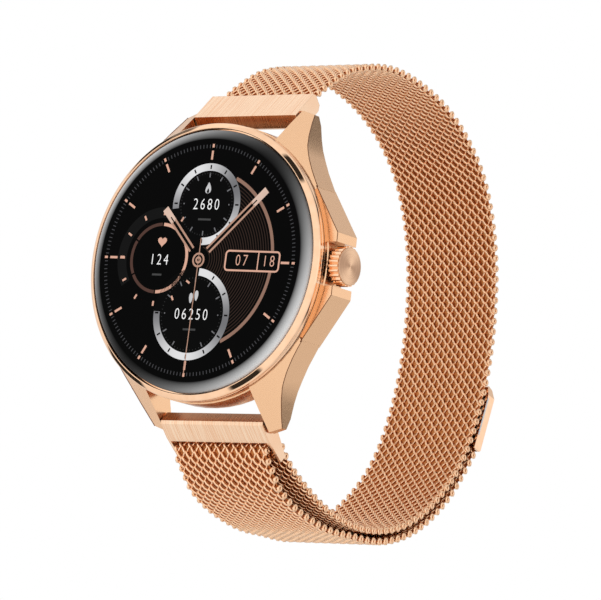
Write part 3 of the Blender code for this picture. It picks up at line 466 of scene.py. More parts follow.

# %% Glass finish
# painted reflection: the rolled edge turns white in its colour, most along this axis and its opposite, fading
# in towards the flat
PAINTED_REFLECTION_AXIS = Vector((0.80, 0, -0.60))
PAINTED_REFLECTION_FROM_R = GLASS_R - ROLL_W + 0.1 * MM
PAINTED_REFLECTION_RANGE = (0.04, 0.95)
PAINTED_REFLECTION_CURVE = 0.8
PRINT_BLACK = (0.002, 0.002, 0.002)
GLOSS_LEVEL = 0.015
black_glass, tree, shader = started("black_glass")
place = add(tree, "TexCoord").outputs["Object"]
flat = vectors(tree, "MULTIPLY", place, (1, 0, 1))
lean = vectors(tree, "DOT_PRODUCT", vectors(tree, "NORMALIZE", flat), PAINTED_REFLECTION_AXIS)
silver = remap(tree, maths(tree, "MULTIPLY", lean, lean), (0, 1), PAINTED_REFLECTION_RANGE)
fade = remap(tree, vectors(tree, "LENGTH", flat), (PAINTED_REFLECTION_FROM_R, GLASS_R))
shade = maths(tree, "MULTIPLY", maths(tree, "POWER", fade, PAINTED_REFLECTION_CURVE), silver)
fill(tree, shader, {"Base Color": ramp(tree, shade, [(0, PRINT_BLACK), (1, WHITE[:3])]), "Roughness": 0.04,
                    "Specular IOR Level": GLOSS_LEVEL})
settle(glass, "cover_glass_black", "watch", "black_glass", black_glass, "cover_glass")

# %% [markdown]
# ## Dial
# The dial is a lit picture behind the glass. A picture file isn't used here, so every mark is a thin inlay
# on top of the black glass, two hundredths of a millimetre thick: bars, arcs and figures. A bar is a plane
# at its size. An arc is a short radial edge, spun round its own centre. Marks that overlap lie on different
# layers. The dial sits in the case turned by almost two degrees, so the whole set is turned at the end.

# %% Dial helpers
DIAL_TURN = math.radians(1.76)
LAYER = 0.012 * MM
INLAY = 0.02 * MM
ARC_STEP = 3
marks = {}


def mark(thing, ink, layer):
    """Applies the place of a flat mark, drawn with X right and Y up, and files it by ink and layer."""
    alone(thing)
    bpy.ops.object.transform_apply(location=True, rotation=True, scale=True)
    marks.setdefault((ink, layer), []).append(thing)


def bar(ink, layer, start, end, width):
    """A straight mark between two points, in millimetres."""
    start, end = (Vector(p) * MM for p in (start, end))
    run = end - start
    thing = fresh(bpy.ops.mesh.primitive_plane_add, size=1, location=(*((start + end) / 2), 0))
    thing.scale = (run.length, width * MM, 1)
    thing.rotation_euler[2] = math.atan2(run.y, run.x)
    mark(thing, ink, layer)


def at(radius, degrees, centre=(0, 0)):
    """A point on a circle, with the angle clockwise from 12 o'clock."""
    turn = math.radians(degrees)
    return centre[0] + radius * math.sin(turn), centre[1] + radius * math.cos(turn)


def stroke(ink, layer, turn, span, centre=(0, 0)):
    """A radial bar; its span is the two radii and the width."""
    bar(ink, layer, at(span[0], turn, centre), at(span[1], turn, centre), span[2])


def sweep(ink, layer, centre, inner, outer, start, end):
    """An arc of a ring, spun from one radial edge; angles are clockwise from 12 o'clock."""
    steps = max(3, round(abs(end - start) / ARC_STEP))
    thing = fresh(bpy.ops.mesh.primitive_plane_add, size=1)
    bpy.ops.object.mode_set(mode="EDIT")
    shape = bmesh.from_edit_mesh(thing.data)
    corners = list(shape.verts)
    bmesh.ops.delete(shape, geom=corners[2:], context="VERTS")
    for corner, radius in zip(corners[:2], (inner, outer)):
        corner.co = (*(Vector(at(radius, start, centre)) * MM), 0)
    bmesh.update_edit_mesh(thing.data)
    bpy.ops.mesh.select_all(action="SELECT")
    bpy.ops.mesh.spin(steps=steps, angle=math.radians(end - start), center=(*(Vector(centre) * MM), 0),
                      axis=(0, 0, 1))
    bpy.ops.mesh.select_all(action="SELECT")
    bpy.ops.mesh.remove_doubles(threshold=WELD)
    bpy.ops.object.mode_set(mode="OBJECT")
    mark(thing, ink, layer)


CAP_HEIGHT = 0.7
THINNED = -0.012
LETTER_GAP = 1.35


def figures(ink, layer, text, middle, height, narrow=0.80):
    """Plain figures, made a mesh before they are placed."""
    thing = fresh(bpy.ops.object.text_add)
    thing.data.body = text
    thing.data.align_x = "CENTER"
    thing.data.align_y = "CENTER"
    thing.data.size = height * MM / CAP_HEIGHT
    thing.data.offset = THINNED * thing.data.size
    thing.data.space_character = LETTER_GAP
    thing.data.resolution_u = 3
    bpy.ops.object.convert(target="MESH")
    thing = bpy.context.object
    thing.scale[0] = narrow
    thing.location = (*(Vector(middle) * MM), 0)
    mark(thing, ink, layer)


# %% [markdown]
# ### Scale and hands
# The scale has short grey strokes every two degrees and a two-part rose mark at each hour. The two hands
# are open frames with a solid tip; the seconds are a thin line through the hub.

# %% Scale
STROKE_TURN = 2
HOUR_TURN = 30
STROKE = (17.55, 18.1, 0.13)
HOUR_TIP = (17.65, 18.2, 0.36)
HOUR_BAR = (15.75, 17.15, 0.36)
THREE_BAR = (15.6, 17.15, 0.36)
NINE_BAR = (14.3, 15.2, 0.34)
for turn in range(0, 360, STROKE_TURN):
    if turn % HOUR_TURN:
        stroke("scale", 1, turn, STROKE)
for turn in range(0, 360, HOUR_TURN):
    stroke("rose", 1, turn, HOUR_TIP)
    stroke("rose", 1, turn, THREE_BAR if turn == 90 else HOUR_BAR)
stroke("rose", 1, 270, NINE_BAR)

# %% Hands
# angle, radius of the tip and of the start of its solid part
HANDS = [(-44.0, 10.9, 8.1), (45.2, 15.9, 12.6)]
HAND_HALF = 0.40
HAND_LINE = 0.34
HAND_ROOT = 2.2
SECONDS = (-3.45, 17.9, 0.14)
for angle, tip, solid in HANDS:
    for side in (-1, 1):
        stroke("hand", 5, angle, (HAND_ROOT, solid + 0.2, HAND_LINE), at(HAND_HALF * side, angle + 90))
    stroke("hand_tip", 5, angle, (solid, tip, 2 * HAND_HALF + HAND_LINE))
    stroke("black", 5, angle, (HAND_ROOT, solid, 2 * HAND_HALF - HAND_LINE))
    stroke("black", 6, angle, (solid - 0.1, solid + 1.0, 0.2))
stroke("hand", 6, 180, SECONDS)
for ink, layer, inner, outer in (("hand", 7, 0.85, 1.15), ("black", 6, 0.02, 0.85), ("hand", 7, 0.25, 0.55)):
    sweep(ink, layer, (0, 0), inner, outer, 0, 360)

# %% [markdown]
# ### Three small dials and the date window
# Two are broad grey arcs with black strokes across them, the third a thin rose ring in six parts. The right
# half of the dial carries fine brown lines round the hub, bounded by a wider one. The figures are only
# examples.

# %% Upper and lower small dials
UPPER = (0.1, 8.75)
LOWER = (-0.05, -8.45)
ARC_W = 1.15
TEXT_HEIGHT = 1.75
LABEL_W = 0.3
# how far inside the arc's edge a stroke starts and ends, and its width
ON_ARC = (0.9, 0.25, 0.26)
LONG_MARK = (2.2, 1.45, 0.2)
SHORT_MARK = (2.2, 2.0, 0.2)
FINE_MARK = (1.65, 1.45, 0.1)


def inside(ink, layer, turn, outer, span, centre):
    """A stroke measured inwards from the edge of an arc."""
    stroke(ink, layer, turn, (outer - span[0], outer - span[1], span[2]), centre)


def label(centre, half, drop):
    """The short bar under a figure."""
    x, y = centre
    bar("label", 4, (x - half, y - drop), (x + half, y - drop), LABEL_W)


for sheen, centre, outer, first, last, value in (("arc_upper", UPPER, 6.4, -98, 180, "2680"),
                                                 ("arc_lower", LOWER, 7.2, 4, 272, "06250")):
    sweep("black", 2, centre, 0.05, outer + 0.05, 0, 360)
    sweep(sheen, 3, centre, outer - ARC_W, outer, first, last)
    for turn in range(HOUR_TURN * math.ceil(first / HOUR_TURN), last + 1, HOUR_TURN):
        inside("black", 4, turn, outer, ON_ARC, centre)
    for turn in range(0, 360, HOUR_TURN):
        inside("grey", 3, turn, outer, SHORT_MARK if turn in (90, 270) else LONG_MARK, centre)
    for turn in range(0, 360, 6):
        inside("faint", 3, turn, outer, FINE_MARK, centre)
    figures("white", 4, value, (centre[0], centre[1] - 0.1), TEXT_HEIGHT)
    label(centre, 1.2, 2.4)

# %% Left small dial
LEFT = (-7.65, 0.1)
LEFT_HEIGHT = 1.7
PART_TURN = 60
PART_GAP = 1.5
LEFT_MARK = (6.75, 7.5, 0.32)
sweep("shadow", 0, LEFT, 6.3, 8.0, 235, 385)
for part in range(6):
    ink = "rose" if part < 3 else "umber"
    sweep(ink, 2, LEFT, 5.05, 5.55, PART_TURN * part + PART_GAP, PART_TURN * (part + 1) - PART_GAP)
for turn in range(0, 360, HOUR_TURN):
    if turn not in (60, 90):
        stroke("rose", 3, turn, LEFT_MARK, LEFT)
figures("white", 4, "124", (LEFT[0] + 0.1, LEFT[1] - 0.3), LEFT_HEIGHT)
label(LEFT, 0.9, 2.6)

# %% Fine lines and date window
FINE_LINES = 25
FINE_FROM = 2.0
FINE_GAP = 0.46
FINE_W = 0.15
for line in range(FINE_LINES):
    radius = FINE_FROM + FINE_GAP * line
    sweep("line", 1, (0, 0), radius, radius + FINE_W, 15, 165)
sweep("earth", 1, (0, 0), 13.6, 14.15, 22, 154)
WINDOW = (10.2, 0.1)
WINDOW_HALF = (5.2, 1.65)
WINDOW_ROUND = 0.7
WINDOW_LINE = 0.28
SPLIT_X = 11.3
SPLIT_W = 0.2
left, right = (WINDOW[0] + side * WINDOW_HALF[0] for side in (-1, 1))
low, high = (WINDOW[1] + side * WINDOW_HALF[1] for side in (-1, 1))
ends = (left + WINDOW_ROUND, right - WINDOW_ROUND, low + WINDOW_ROUND, high - WINDOW_ROUND)
bar("black", 2, (left, WINDOW[1]), (right, WINDOW[1]), 2 * WINDOW_HALF[1])
for y in (low + WINDOW_LINE / 2, high - WINDOW_LINE / 2):
    bar("rose", 3, (ends[0], y), (ends[1], y), WINDOW_LINE)
for x in (left + WINDOW_LINE / 2, right - WINDOW_LINE / 2):
    bar("rose", 3, (x, ends[2]), (x, ends[3]), WINDOW_LINE)
for number, (i, j) in enumerate(((1, 3), (1, 2), (0, 2), (0, 3))):
    first = 90 * number
    sweep("rose", 3, (ends[i], ends[j]), WINDOW_ROUND - WINDOW_LINE, WINDOW_ROUND, first, first + 90)
bar("rose", 3, (SPLIT_X, low), (SPLIT_X, high), SPLIT_W)
figures("rose", 4, "07", (8.2, WINDOW[1]), TEXT_HEIGHT)
figures("rose", 4, "18", (13.3, WINDOW[1]), TEXT_HEIGHT)

# %% [markdown]
# ### Signs on the small dials
# A heart, a flame and two soles are common signs. Each is a circle pulled into shape vertex by vertex.

# %% Signs
def sign(ink, layer, outline, middle, size):
    """A filled circle whose vertices are moved onto an outline given by an angle."""
    thing = fresh(bpy.ops.mesh.primitive_circle_add, vertices=32, fill_type="TRIFAN")
    for vertex in thing.data.vertices:
        if vertex.co.length > 0.5:
            vertex.co = (*outline(math.atan2(vertex.co.x, vertex.co.y)), 0)
    thing.scale = (size * MM, size * MM, 1)
    thing.location = (*(Vector(middle) * MM), 0)
    mark(thing, ink, layer)


def heart(turn):
    rise = 13 * math.cos(turn) - 5 * math.cos(2 * turn) - 2 * math.cos(3 * turn) - math.cos(4 * turn)
    return math.sin(turn) ** 3, rise / 16


def flame(turn):
    return 0.62 * math.sin(turn) * (1 - 0.62 * math.cos(turn)), 1.15 * math.cos(turn) + 0.1 * math.sin(turn)


def sole(turn):
    return 0.42 * math.sin(turn) * (1 + 0.25 * math.cos(turn)), math.cos(turn)


sign("rose", 4, heart, (-7.4, 2.7), 0.85)
sign("silver", 4, flame, (0.1, 11.3), 0.75)
sign("black", 5, flame, (0.1, 10.85), 0.32)
for side in (-1, 1):
    sign("silver", 4, sole, (side * 0.5, -5.75 + 0.2 * side), 0.8)

# %% [markdown]
# ### Inks
# The marks glow by themselves, because the display is lit from behind. Marks of one ink on one layer are
# joined, given their thickness by one extrusion, and turned from the drawing plane onto the glass.

# %% Inks
INKS = {"white": (0.95, 0.95, 0.95), "silver": (0.60, 0.60, 0.61), "grey": (0.17, 0.17, 0.18),
        "scale": (0.06, 0.06, 0.065), "faint": (0.03, 0.03, 0.03), "label": (0.06, 0.06, 0.06),
        "rose": (0.74, 0.42, 0.31),
        "umber": (0.09, 0.045, 0.035), "earth": (0.30, 0.17, 0.125), "line": (0.035, 0.02, 0.015),
        "shadow": (0.006, 0.006, 0.006), "black": (0.001, 0.001, 0.001), "hand": (0.50, 0.29, 0.21),
        "hand_tip": (0.73, 0.52, 0.42)}


DIMMED = 0.93
ARC_GLOW = ((0.17, 0.17, 0.18), (0.76, 0.76, 0.77))
UPRIGHT = Matrix.Rotation(math.pi / 2, 4, "X")


def ink_finish(name, colour):
    """A lit mark under gloss, with a trace of unevenness in its glow."""
    made, tree, shader = started("ink_" + name)
    place = add(tree, "TexCoord").outputs["Object"]
    noise = add(tree, "TexNoise", {"Vector": place, "Scale": 600, "Detail": 1}).outputs["Fac"]
    dim = tuple(DIMMED * value for value in colour)
    fill(tree, shader, {"Base Color": (*PRINT_BLACK, 1), "Roughness": 0.06, "Specular IOR Level": GLOSS_LEVEL,
                        "Emission Color": ramp(tree, noise, list(zip(ROUGH_SPAN, (dim, colour)))),
                        "Emission Strength": 1})
    return made


def twice_round(tree, across, up, turned_by):
    """A wave with two crests in each turn about an axis."""
    turn = maths(tree, "ARCTAN2", across, up)
    return maths(tree, "COSINE", maths(tree, "MULTIPLY_ADD", turn, 2, turned_by))


def arc_finish(name, centre, bright_at):
    """A silver arc whose glow rises and falls twice round its centre."""
    made = ink_finish(name, INKS["silver"])
    tree = made.node_tree
    place = add(tree, "TexCoord").outputs["Object"]
    away = vectors(tree, "SUBTRACT", place, (centre[0] * MM, 0, centre[1] * MM))
    side = add(tree, "SeparateXYZ", {0: away}).outputs
    level = remap(tree, twice_round(tree, side["X"], side["Z"], -2 * math.radians(bright_at)), (-1, 1))
    glow = ramp(tree, level, list(enumerate(ARC_GLOW)))
    fill(tree, tree.nodes["Principled BSDF"], {"Emission Color": glow})
    return made


def inlay(flat_marks, place, name, slot, finish):
    """Joins flat marks, gives them their thickness and carries them to their place on the watch."""
    alone(*flat_marks)
    if len(flat_marks) > 1:
        bpy.ops.object.join()
    joined = bpy.context.object
    edit_all()
    bpy.ops.mesh.normals_make_consistent(inside=False)
    bpy.ops.mesh.extrude_region_move(TRANSFORM_OT_translate={"value": (0, 0, -INLAY)})
    bpy.ops.mesh.select_all(action="SELECT")
    bpy.ops.mesh.normals_make_consistent(inside=False)
    bpy.ops.object.mode_set(mode="OBJECT")
    joined.data.transform(place)
    settle(joined, name, "watch", slot, finish)


inks = {name: ink_finish(name, colour) for name, colour in INKS.items()}
inks["arc_upper"] = arc_finish("arc_upper", UPPER, -25)
inks["arc_lower"] = arc_finish("arc_lower", LOWER, 12)
onto_glass = Matrix.Rotation(DIAL_TURN, 4, "Y") @ UPRIGHT
for (ink, layer), flat_marks in marks.items():
    height = Matrix.Translation((0, -GLASS_TOP - LAYER * (layer + 1), 0))
    inlay(flat_marks, height @ onto_glass, "dial_%s_%d" % (ink, layer), "display", inks[ink])

# %% [markdown]
# ## Crown
# The crown is turned by finger and pressed. Its barrel has fine flutes for grip, and its end is a disc
# brushed round its axis, with a rounded rim. The barrel is a cylinder whose vertices are pulled in by
# turns; the disc is turned. Under the barrel is a cup that leaves room for the tube in the case when the
# crown is pressed. Both pieces ride on the crown's body, so they turn and slide with it.

# %% Crown
CROWN_Y = -4.75 * MM
CROWN_R = 3.12 * MM
CROWN_IN = 22.5 * MM
FLUTE_END = 24.15 * MM
FLUTES = 24
FLUTE_POINTS = 6
FLUTE_DEPTH = 0.32 * MM
CUP_R = 1.9 * MM
CUP_DEPTH = 0.85 * MM
FLUTE_ANGLE = math.radians(45)

barrel = fresh(bpy.ops.mesh.primitive_cylinder_add, vertices=FLUTES * FLUTE_POINTS, radius=CROWN_R,
               depth=FLUTE_END - CROWN_IN, end_fill_type="NGON")
for vertex in barrel.data.vertices:
    turn = math.atan2(vertex.co.y, vertex.co.x)
    pull = 0.5 + 0.5 * math.cos(FLUTES * turn)
    scale = 1 - FLUTE_DEPTH / CROWN_R * pull ** 2
    vertex.co.x *= scale
    vertex.co.y *= scale
bpy.ops.object.mode_set(mode="EDIT")
bpy.ops.mesh.select_all(action="DESELECT")
shape = bmesh.from_edit_mesh(barrel.data)
for face in shape.faces:
    face.select = face.normal.z < -0.9
bmesh.update_edit_mesh(barrel.data)
bpy.ops.mesh.inset(thickness=CROWN_R - FLUTE_DEPTH - CUP_R)
bpy.ops.mesh.extrude_region_move(TRANSFORM_OT_translate={"value": (0, 0, CUP_DEPTH)})
bpy.ops.object.mode_set(mode="OBJECT")
barrel.rotation_euler = CROWNWARD
barrel.location = ((CROWN_IN + FLUTE_END) / 2, CROWN_Y, 0)
alone(barrel)
bpy.ops.object.transform_apply(location=True, rotation=True, scale=True)
bpy.ops.object.shade_smooth_by_angle(angle=FLUTE_ANGLE)
settle(barrel, "crown_barrel", "crown", "satin_rose", polished_rose, "crown")

CROWN_OUT = 24.45
END_R = 2.9
END_T = 0.4
END_PROFILE = [(0, CROWN_OUT, 0), (END_R, CROWN_OUT - 0.06, 0.12), (END_R, CROWN_OUT - END_T, 0.05),
               (0, CROWN_OUT - END_T, 0)]
crown_end = turned(eased(END_PROFILE), CROWNWARD, (0, CROWN_Y, 0), 96)

# %% Crown end finish
# painted sheen: the disc's colour rises and falls twice round its axis, over the real rings of the brushing
PAINTED_SHEEN = 0.26
PAINTED_SHEEN_TURN = math.radians(-20)
PAINTED_SHEEN_STOPS = [(0.2, (0.50, 0.29, 0.18)), (0.8, (0.95, 0.62, 0.40))]
brushed_round_painted_sheen, tree, shader = started("brushed_round_painted_sheen")
place = add(tree, "TexCoord").outputs["Object"]
centred = add(tree, "Mapping", {"Vector": place, "Location": (0, -CROWN_Y, 0), "Scale": (0, 1, 1)}).outputs[0]
radius = vectors(tree, "LENGTH", centred)
rings = add(tree, "TexNoise", {"W": radius, "Scale": 9000, "Detail": 2}, noise_dimensions="1D").outputs["Fac"]
side = add(tree, "SeparateXYZ", {0: centred}).outputs
sheen = twice_round(tree, side["Y"], side["Z"], PAINTED_SHEEN_TURN)
mixed = maths(tree, "MULTIPLY_ADD", sheen, PAINTED_SHEEN, rings)
around = add(tree, "Tangent", direction_type="RADIAL", axis="X").outputs[0]
fill(tree, shader, {"Metallic": 1, "Anisotropic": 0.75, "Base Color": ramp(tree, mixed, PAINTED_SHEEN_STOPS),
                    "Roughness": remap(tree, rings, (0, 1), (0.24, 0.42)), "Tangent": around})
settle(crown_end, "crown_end", "crown", "satin_rose", brushed_round_painted_sheen)

# %% [markdown]
# ## End link and slide ring
# The strap meets the case in two brushed bars. The upper one grips the strap; the lower one is a ring that
# the strap folds round. Both are milled from bar stock, so their CAD shapes only need broken edges. The
# brushing runs across the bar's width in fine lines, which is a noise that changes along X and hardly at
# all elsewhere. The faces next to the case lie in its shade, and that shade is painted: they get a darker
# brushed finish.

# %% Bars
# the link's front and the ring's top face the case; their darker finish is painted shade
LINK_FRONT = (0, -0.71, -0.71)
RING_TOP = (0, -0.71, 0.70)
FACES_SAME = 0.97
LINK_EDGE = 0.12 * MM
RING_EDGE = 0.14 * MM


def darken(thing, facing):
    """Gives the faces that look one way the darker brushed finish, which is painted shade."""
    thing.data.materials.append(brushed_painted_shade)
    for face in thing.data.polygons:
        if face.normal.dot(Vector(facing)) > FACES_SAME:
            face.material_index = 1


link_bar = softened("upper_end_link", LINK_EDGE)
settle(link_bar, "link_bar", "upper_link", "satin_rose", brushed_rose, "upper_end_link")
darken(link_bar, LINK_FRONT)
ring_bar = softened("slide_ring", RING_EDGE)
settle(ring_bar, "ring_bar", "ring", "satin_rose", brushed_rose, "slide_ring")
darken(ring_bar, RING_TOP)

# %% [markdown]
# ## Strap route
# The strap is one woven ribbon. It leaves the upper link, goes round the wrist, folds round the ring's far
# bar and comes back over itself to the magnetic tab. Seen from the side it is a curve in Y and Z, drawn
# with the same points as the CAD model: a smooth curve through them, measured along its length.

# %% Curve helpers
SPLINE_STEPS = 24


def lengths(route):
    """How far along the route each of its points lies."""
    return numpy.concatenate([[0], numpy.cumsum(numpy.linalg.norm(numpy.diff(route, axis=0), axis=1))])


def smooth(points, step):
    """Even points, about a step apart, on a Catmull-Rom curve through the given ones."""
    given = [numpy.array(p) for p in points]
    given = [2 * given[0] - given[1]] + given + [2 * given[-1] - given[-2]]
    fine = []
    for a, b, c, d in zip(given, given[1:], given[2:], given[3:]):
        for t in numpy.linspace(0, 1, SPLINE_STEPS, endpoint=False):
            fine.append(0.5 * (2 * b + (c - a) * t + (2 * a - 5 * b + 4 * c - d) * t ** 2
                               + (3 * b - a - 3 * c + d) * t ** 3))
    fine = numpy.array(fine + [given[-2]])
    run = lengths(fine)
    even = numpy.linspace(0, run[-1], max(2, round(run[-1] / step)) + 1)
    return numpy.stack([numpy.interp(even, run, fine[:, 0]), numpy.interp(even, run, fine[:, 1])], 1)


def outward(route):
    """Unit normals on the side away from the wrist."""
    along = numpy.gradient(route, axis=0)
    along /= numpy.linalg.norm(along, axis=1)[:, None]
    return numpy.stack([-along[:, 1], along[:, 0]], 1)


# %% Route of the strap
PIN_Y = -0.8 * MM
PIN_Z = 23.8 * MM
BAND_T = 1.1 * MM
BAND_STEP = 2.4 * MM
LAYER_STEP = 1.65 * MM
ROUTE = [(6.4, 30.8), (13.7, 35.0), (24.5, 37.1), (36.4, 35.3), (46.0, 30.9), (53.5, 23.8),
         (58.2, 13.4), (59.7, 1.5), (58.5, -10.2), (54.3, -21.4), (46.9, -29.6), (38.0, -34.5),
         (28.0, -36.0), (18.0, -34.4), (10.0, -30.9)]
TAIL_ROUTE = [(5.3, -33.3), (10.5, -35.7), (18.5, -37.4)]
LINK_ANGLE = math.radians(45)
RING_ANGLE = math.radians(-44.5)
FOLD_R = 2.1 * MM
FOLD_LEAD_IN = 3.0 * MM
FOLD_LEAD_OUT = 2.0 * MM
SEAT_GAP = 0.3 * MM
LINK_AHEAD = 1.1 * MM
LINK_OVER = 1.75 * MM
LINK_T = 3.0 * MM
# along the link: where it holds the strap, where the strap leaves it, and where the strap starts to bend
STRAP_STARTS = (4.5 * MM, 5.9 * MM, 7.4 * MM)
RING_ABOVE = 1.46 * MM
RING_AHEAD = 1.9 * MM
RING_BAR_L = 3.85 * MM
RING_BAR_T = 2.85 * MM


def drawn(points):
    return [numpy.array((y * MM, z * MM)) for y, z in points]


link_along = numpy.array((math.cos(LINK_ANGLE), math.sin(LINK_ANGLE)))
link_across = numpy.array((link_along[1], -link_along[0]))
link_corner = numpy.array((PIN_Y, PIN_Z)) - LINK_AHEAD * link_along - LINK_OVER * link_across
start = [link_corner + u * link_along + LINK_T / 2 * link_across for u in STRAP_STARTS]
ring_along = numpy.array((math.cos(RING_ANGLE), math.sin(RING_ANGLE)))
ring_across = numpy.array((-ring_along[1], ring_along[0]))
ring_corner = numpy.array((PIN_Y, -PIN_Z)) - RING_ABOVE * ring_along - RING_AHEAD * ring_across
bar_reach = RING_BAR_L + SEAT_GAP + BAND_T / 2 + FOLD_R
far_bar = ring_corner + bar_reach * ring_along + RING_BAR_T / 2 * ring_across


def fold_points(count):
    """Points on the half turn round the far bar."""
    return [far_bar + FOLD_R * (math.cos(t) * ring_across - math.sin(t) * ring_along)
            for t in numpy.linspace(0, math.pi, count)]


fold = fold_points(9)
route = smooth(start + drawn(ROUTE) + [fold[0] + FOLD_LEAD_IN * ring_along, fold[0]], BAND_STEP)
print("strap to the fold", round(lengths(route)[-1] / MM, 1), "mm")

# %% Route of the tail
TAB_Z = -13.0 * MM
TAB_LENGTH = 11.2 * MM
TAB_LEAD = 2.0 * MM
TAB_SINK = 0.1 * MM
GRIP_OUT = 1.0 * MM
GRIP_IN = 1.8 * MM
MERGE_Y = (TAIL_ROUTE[-1][0] + 6.0) * MM
FINE_STEP = 0.2 * MM

fine = smooth(route, FINE_STEP)
tab_at = numpy.argmin(numpy.where(fine[:, 0] > PIN_Z, abs(fine[:, 1] - TAB_Z), 1))
tab_middle = fine[tab_at]
tab_side = outward(fine)[tab_at]
tab_along = numpy.array((-tab_side[1], tab_side[0]))
covered = []
for point, side in list(zip(route, outward(route)))[::-1]:
    if point[0] > MERGE_Y and point[1] < tab_middle[1] - TAB_LENGTH / 2 - TAB_LEAD:
        covered.append(point + LAYER_STEP * side)
grip = [tab_middle + u * tab_along + v * tab_side
        for u, v in ((-TAB_LENGTH / 2 - GRIP_OUT, LAYER_STEP - TAB_SINK),
                     (-TAB_LENGTH / 2 + GRIP_IN, LAYER_STEP))]
lead = [fold[-1], fold[-1] + FOLD_LEAD_OUT * ring_along] + drawn(TAIL_ROUTE)
tail = smooth(lead + covered[::2] + grip, BAND_STEP)
print("tail", round(lengths(tail)[-1] / MM, 1), "mm")

# %% [markdown]
# ## Tab
# The magnetic tab is a folded cover, polished all over. Its copy is drawn in to the width of the strap, and
# its nose is narrowed.

# %% Tab cover
TAB_NARROW = 0.927
NOSE_START = 3.9 * MM
NOSE_SLANT = 0.33
TAB_EDGE = 0.10 * MM
TAB_ANGLE = math.radians(12)
tab_cover = softened("tab_shell", TAB_EDGE, 3)
tab_up = Vector((0, *tab_along))
nose_root = Vector((0, *tab_middle)) + NOSE_START * tab_up
alone(tab_cover)
edit_all()
bpy.ops.mesh.bisect(plane_co=nose_root, plane_no=tab_up)
bpy.ops.object.mode_set(mode="OBJECT")
for vertex in tab_cover.data.vertices:
    slant = NOSE_SLANT * max(0, (vertex.co - nose_root).dot(tab_up))
    vertex.co.x = vertex.co.x * TAB_NARROW - math.copysign(slant, vertex.co.x)
bpy.ops.mesh.customdata_custom_splitnormals_clear()
bpy.ops.object.shade_smooth_by_angle(angle=TAB_ANGLE)
settle(tab_cover, "tab_cover", "tail_end", "polished_rose", polished_rose, "tab_shell")

# %% [markdown]
# ## Weave
# The real ribbon is made of flattened coils of wire that lie across the strap, each hooked into its two
# neighbours, as in a chain-link fence. Here each row is a high coil of one hand and a flat coil of the other
# that simply cross, which gives the same small diamonds with fewer points. At the edge the wires of two rows
# end in one oval loop. Two rows with their end loops are drawn once, as curves with a round section. That
# pair is then repeated along the length, and each vertex is laid on the route: across the strap it keeps its
# X, along it goes to the route's point, and its height is measured along the normal.

# %% Two rows of wire
LOOP = 1.70 * MM
ROW_STEP = 0.86 * MM
ROW_REACH = 0.60 * MM
TURNS = 10
TURN_POINTS = 8
FLATTENED = 0.7
END_POINTS = 10
# hand of the coil, half its height and its wire
COILS = [(1, 0.41 * MM, 0.40 * MM), (-1, 0.17 * MM, 0.31 * MM)]
END_LOOP_X = 8.64 * MM
END_LOOP = (0.36 * MM, 0.43 * MM, 0.48 * MM)


def wire(points, gauge, closed=False):
    """A round wire along some points, as a mesh."""
    curve = bpy.data.curves.new("wire", "CURVE")
    curve.dimensions = "3D"
    curve.bevel_depth = gauge / 2
    curve.bevel_resolution = 1
    curve.use_fill_caps = not closed
    line = curve.splines.new("POLY")
    line.points.add(len(points) - 1)
    for point, place in zip(line.points, points):
        point.co = (*place, 1)
    line.use_cyclic_u = closed
    linked("wire", curve)
    bpy.ops.object.convert(target="MESH")
    bpy.ops.object.shade_smooth()
    return bpy.context.object


def coil(hand, rise, row):
    """Points of one flattened coil across the strap: (across, along, outward)."""
    places = []
    for i in range(TURNS * TURN_POINTS + 1):
        turn = FULL_TURN * i / TURN_POINTS + math.pi * row
        lift = math.copysign(abs(math.sin(turn)) ** FLATTENED, math.sin(turn))
        across = hand * LOOP * (i / TURN_POINTS - TURNS / 2)
        places.append((across, ROW_STEP * row + ROW_REACH * math.cos(turn), rise * lift))
    return places


def end_loop(across):
    half_long, half_high, gauge = END_LOOP
    turns = [FULL_TURN * i / END_POINTS for i in range(END_POINTS)]
    places = [(across, half_long * math.cos(t), half_high * math.sin(t)) for t in turns]
    return wire(places, gauge, closed=True)


pair = [wire(coil(hand, rise, row), gauge) for hand, rise, gauge in COILS for row in (0, 1)]
pair += [end_loop(side * END_LOOP_X) for side in (-1, 1)]
alone(*pair)
bpy.ops.object.join()
unit = bpy.context.object
unit_points = numpy.array([v.co for v in unit.data.vertices])
unit_faces = [tuple(face.vertices) for face in unit.data.polygons]
bpy.data.objects.remove(unit)
print("two rows", len(unit_faces), "faces")

# %% Laying the weave on the route
UPPER_RUN = 17.0 * MM
BACK_RUN = 92.0 * MM
FOLD_RUN = 8.5 * MM
TAIL_RUNS = (16.0 * MM, 18.0 * MM)
HINGE_LEAD = 3.0 * MM

whole = numpy.concatenate([fine, fold_points(40)[1:-1], smooth(tail, FINE_STEP)])
whole_run = lengths(whole)
whole_side = outward(whole)
bar_run = lengths(route)[-1]
tail_run = bar_run + math.pi * FOLD_R
apex_run = bar_run + math.pi * FOLD_R / 2
hinge_runs = [tail_run + FOLD_RUN, tail_run + FOLD_RUN + TAIL_RUNS[0], tail_run + FOLD_RUN + sum(TAIL_RUNS)]
PAIR_STEP = 2 * ROW_STEP
first_pair = END_LOOP[0] + END_LOOP[2] / 2


def on_route(run):
    """The route's points and outward sides at some lengths along it."""
    point = numpy.stack([numpy.interp(run, whole_run, whole[:, i]) for i in (0, 1)], 1)
    side = numpy.stack([numpy.interp(run, whole_run, whole_side[:, i]) for i in (0, 1)], 1)
    return point, side / numpy.linalg.norm(side, axis=1)[:, None]


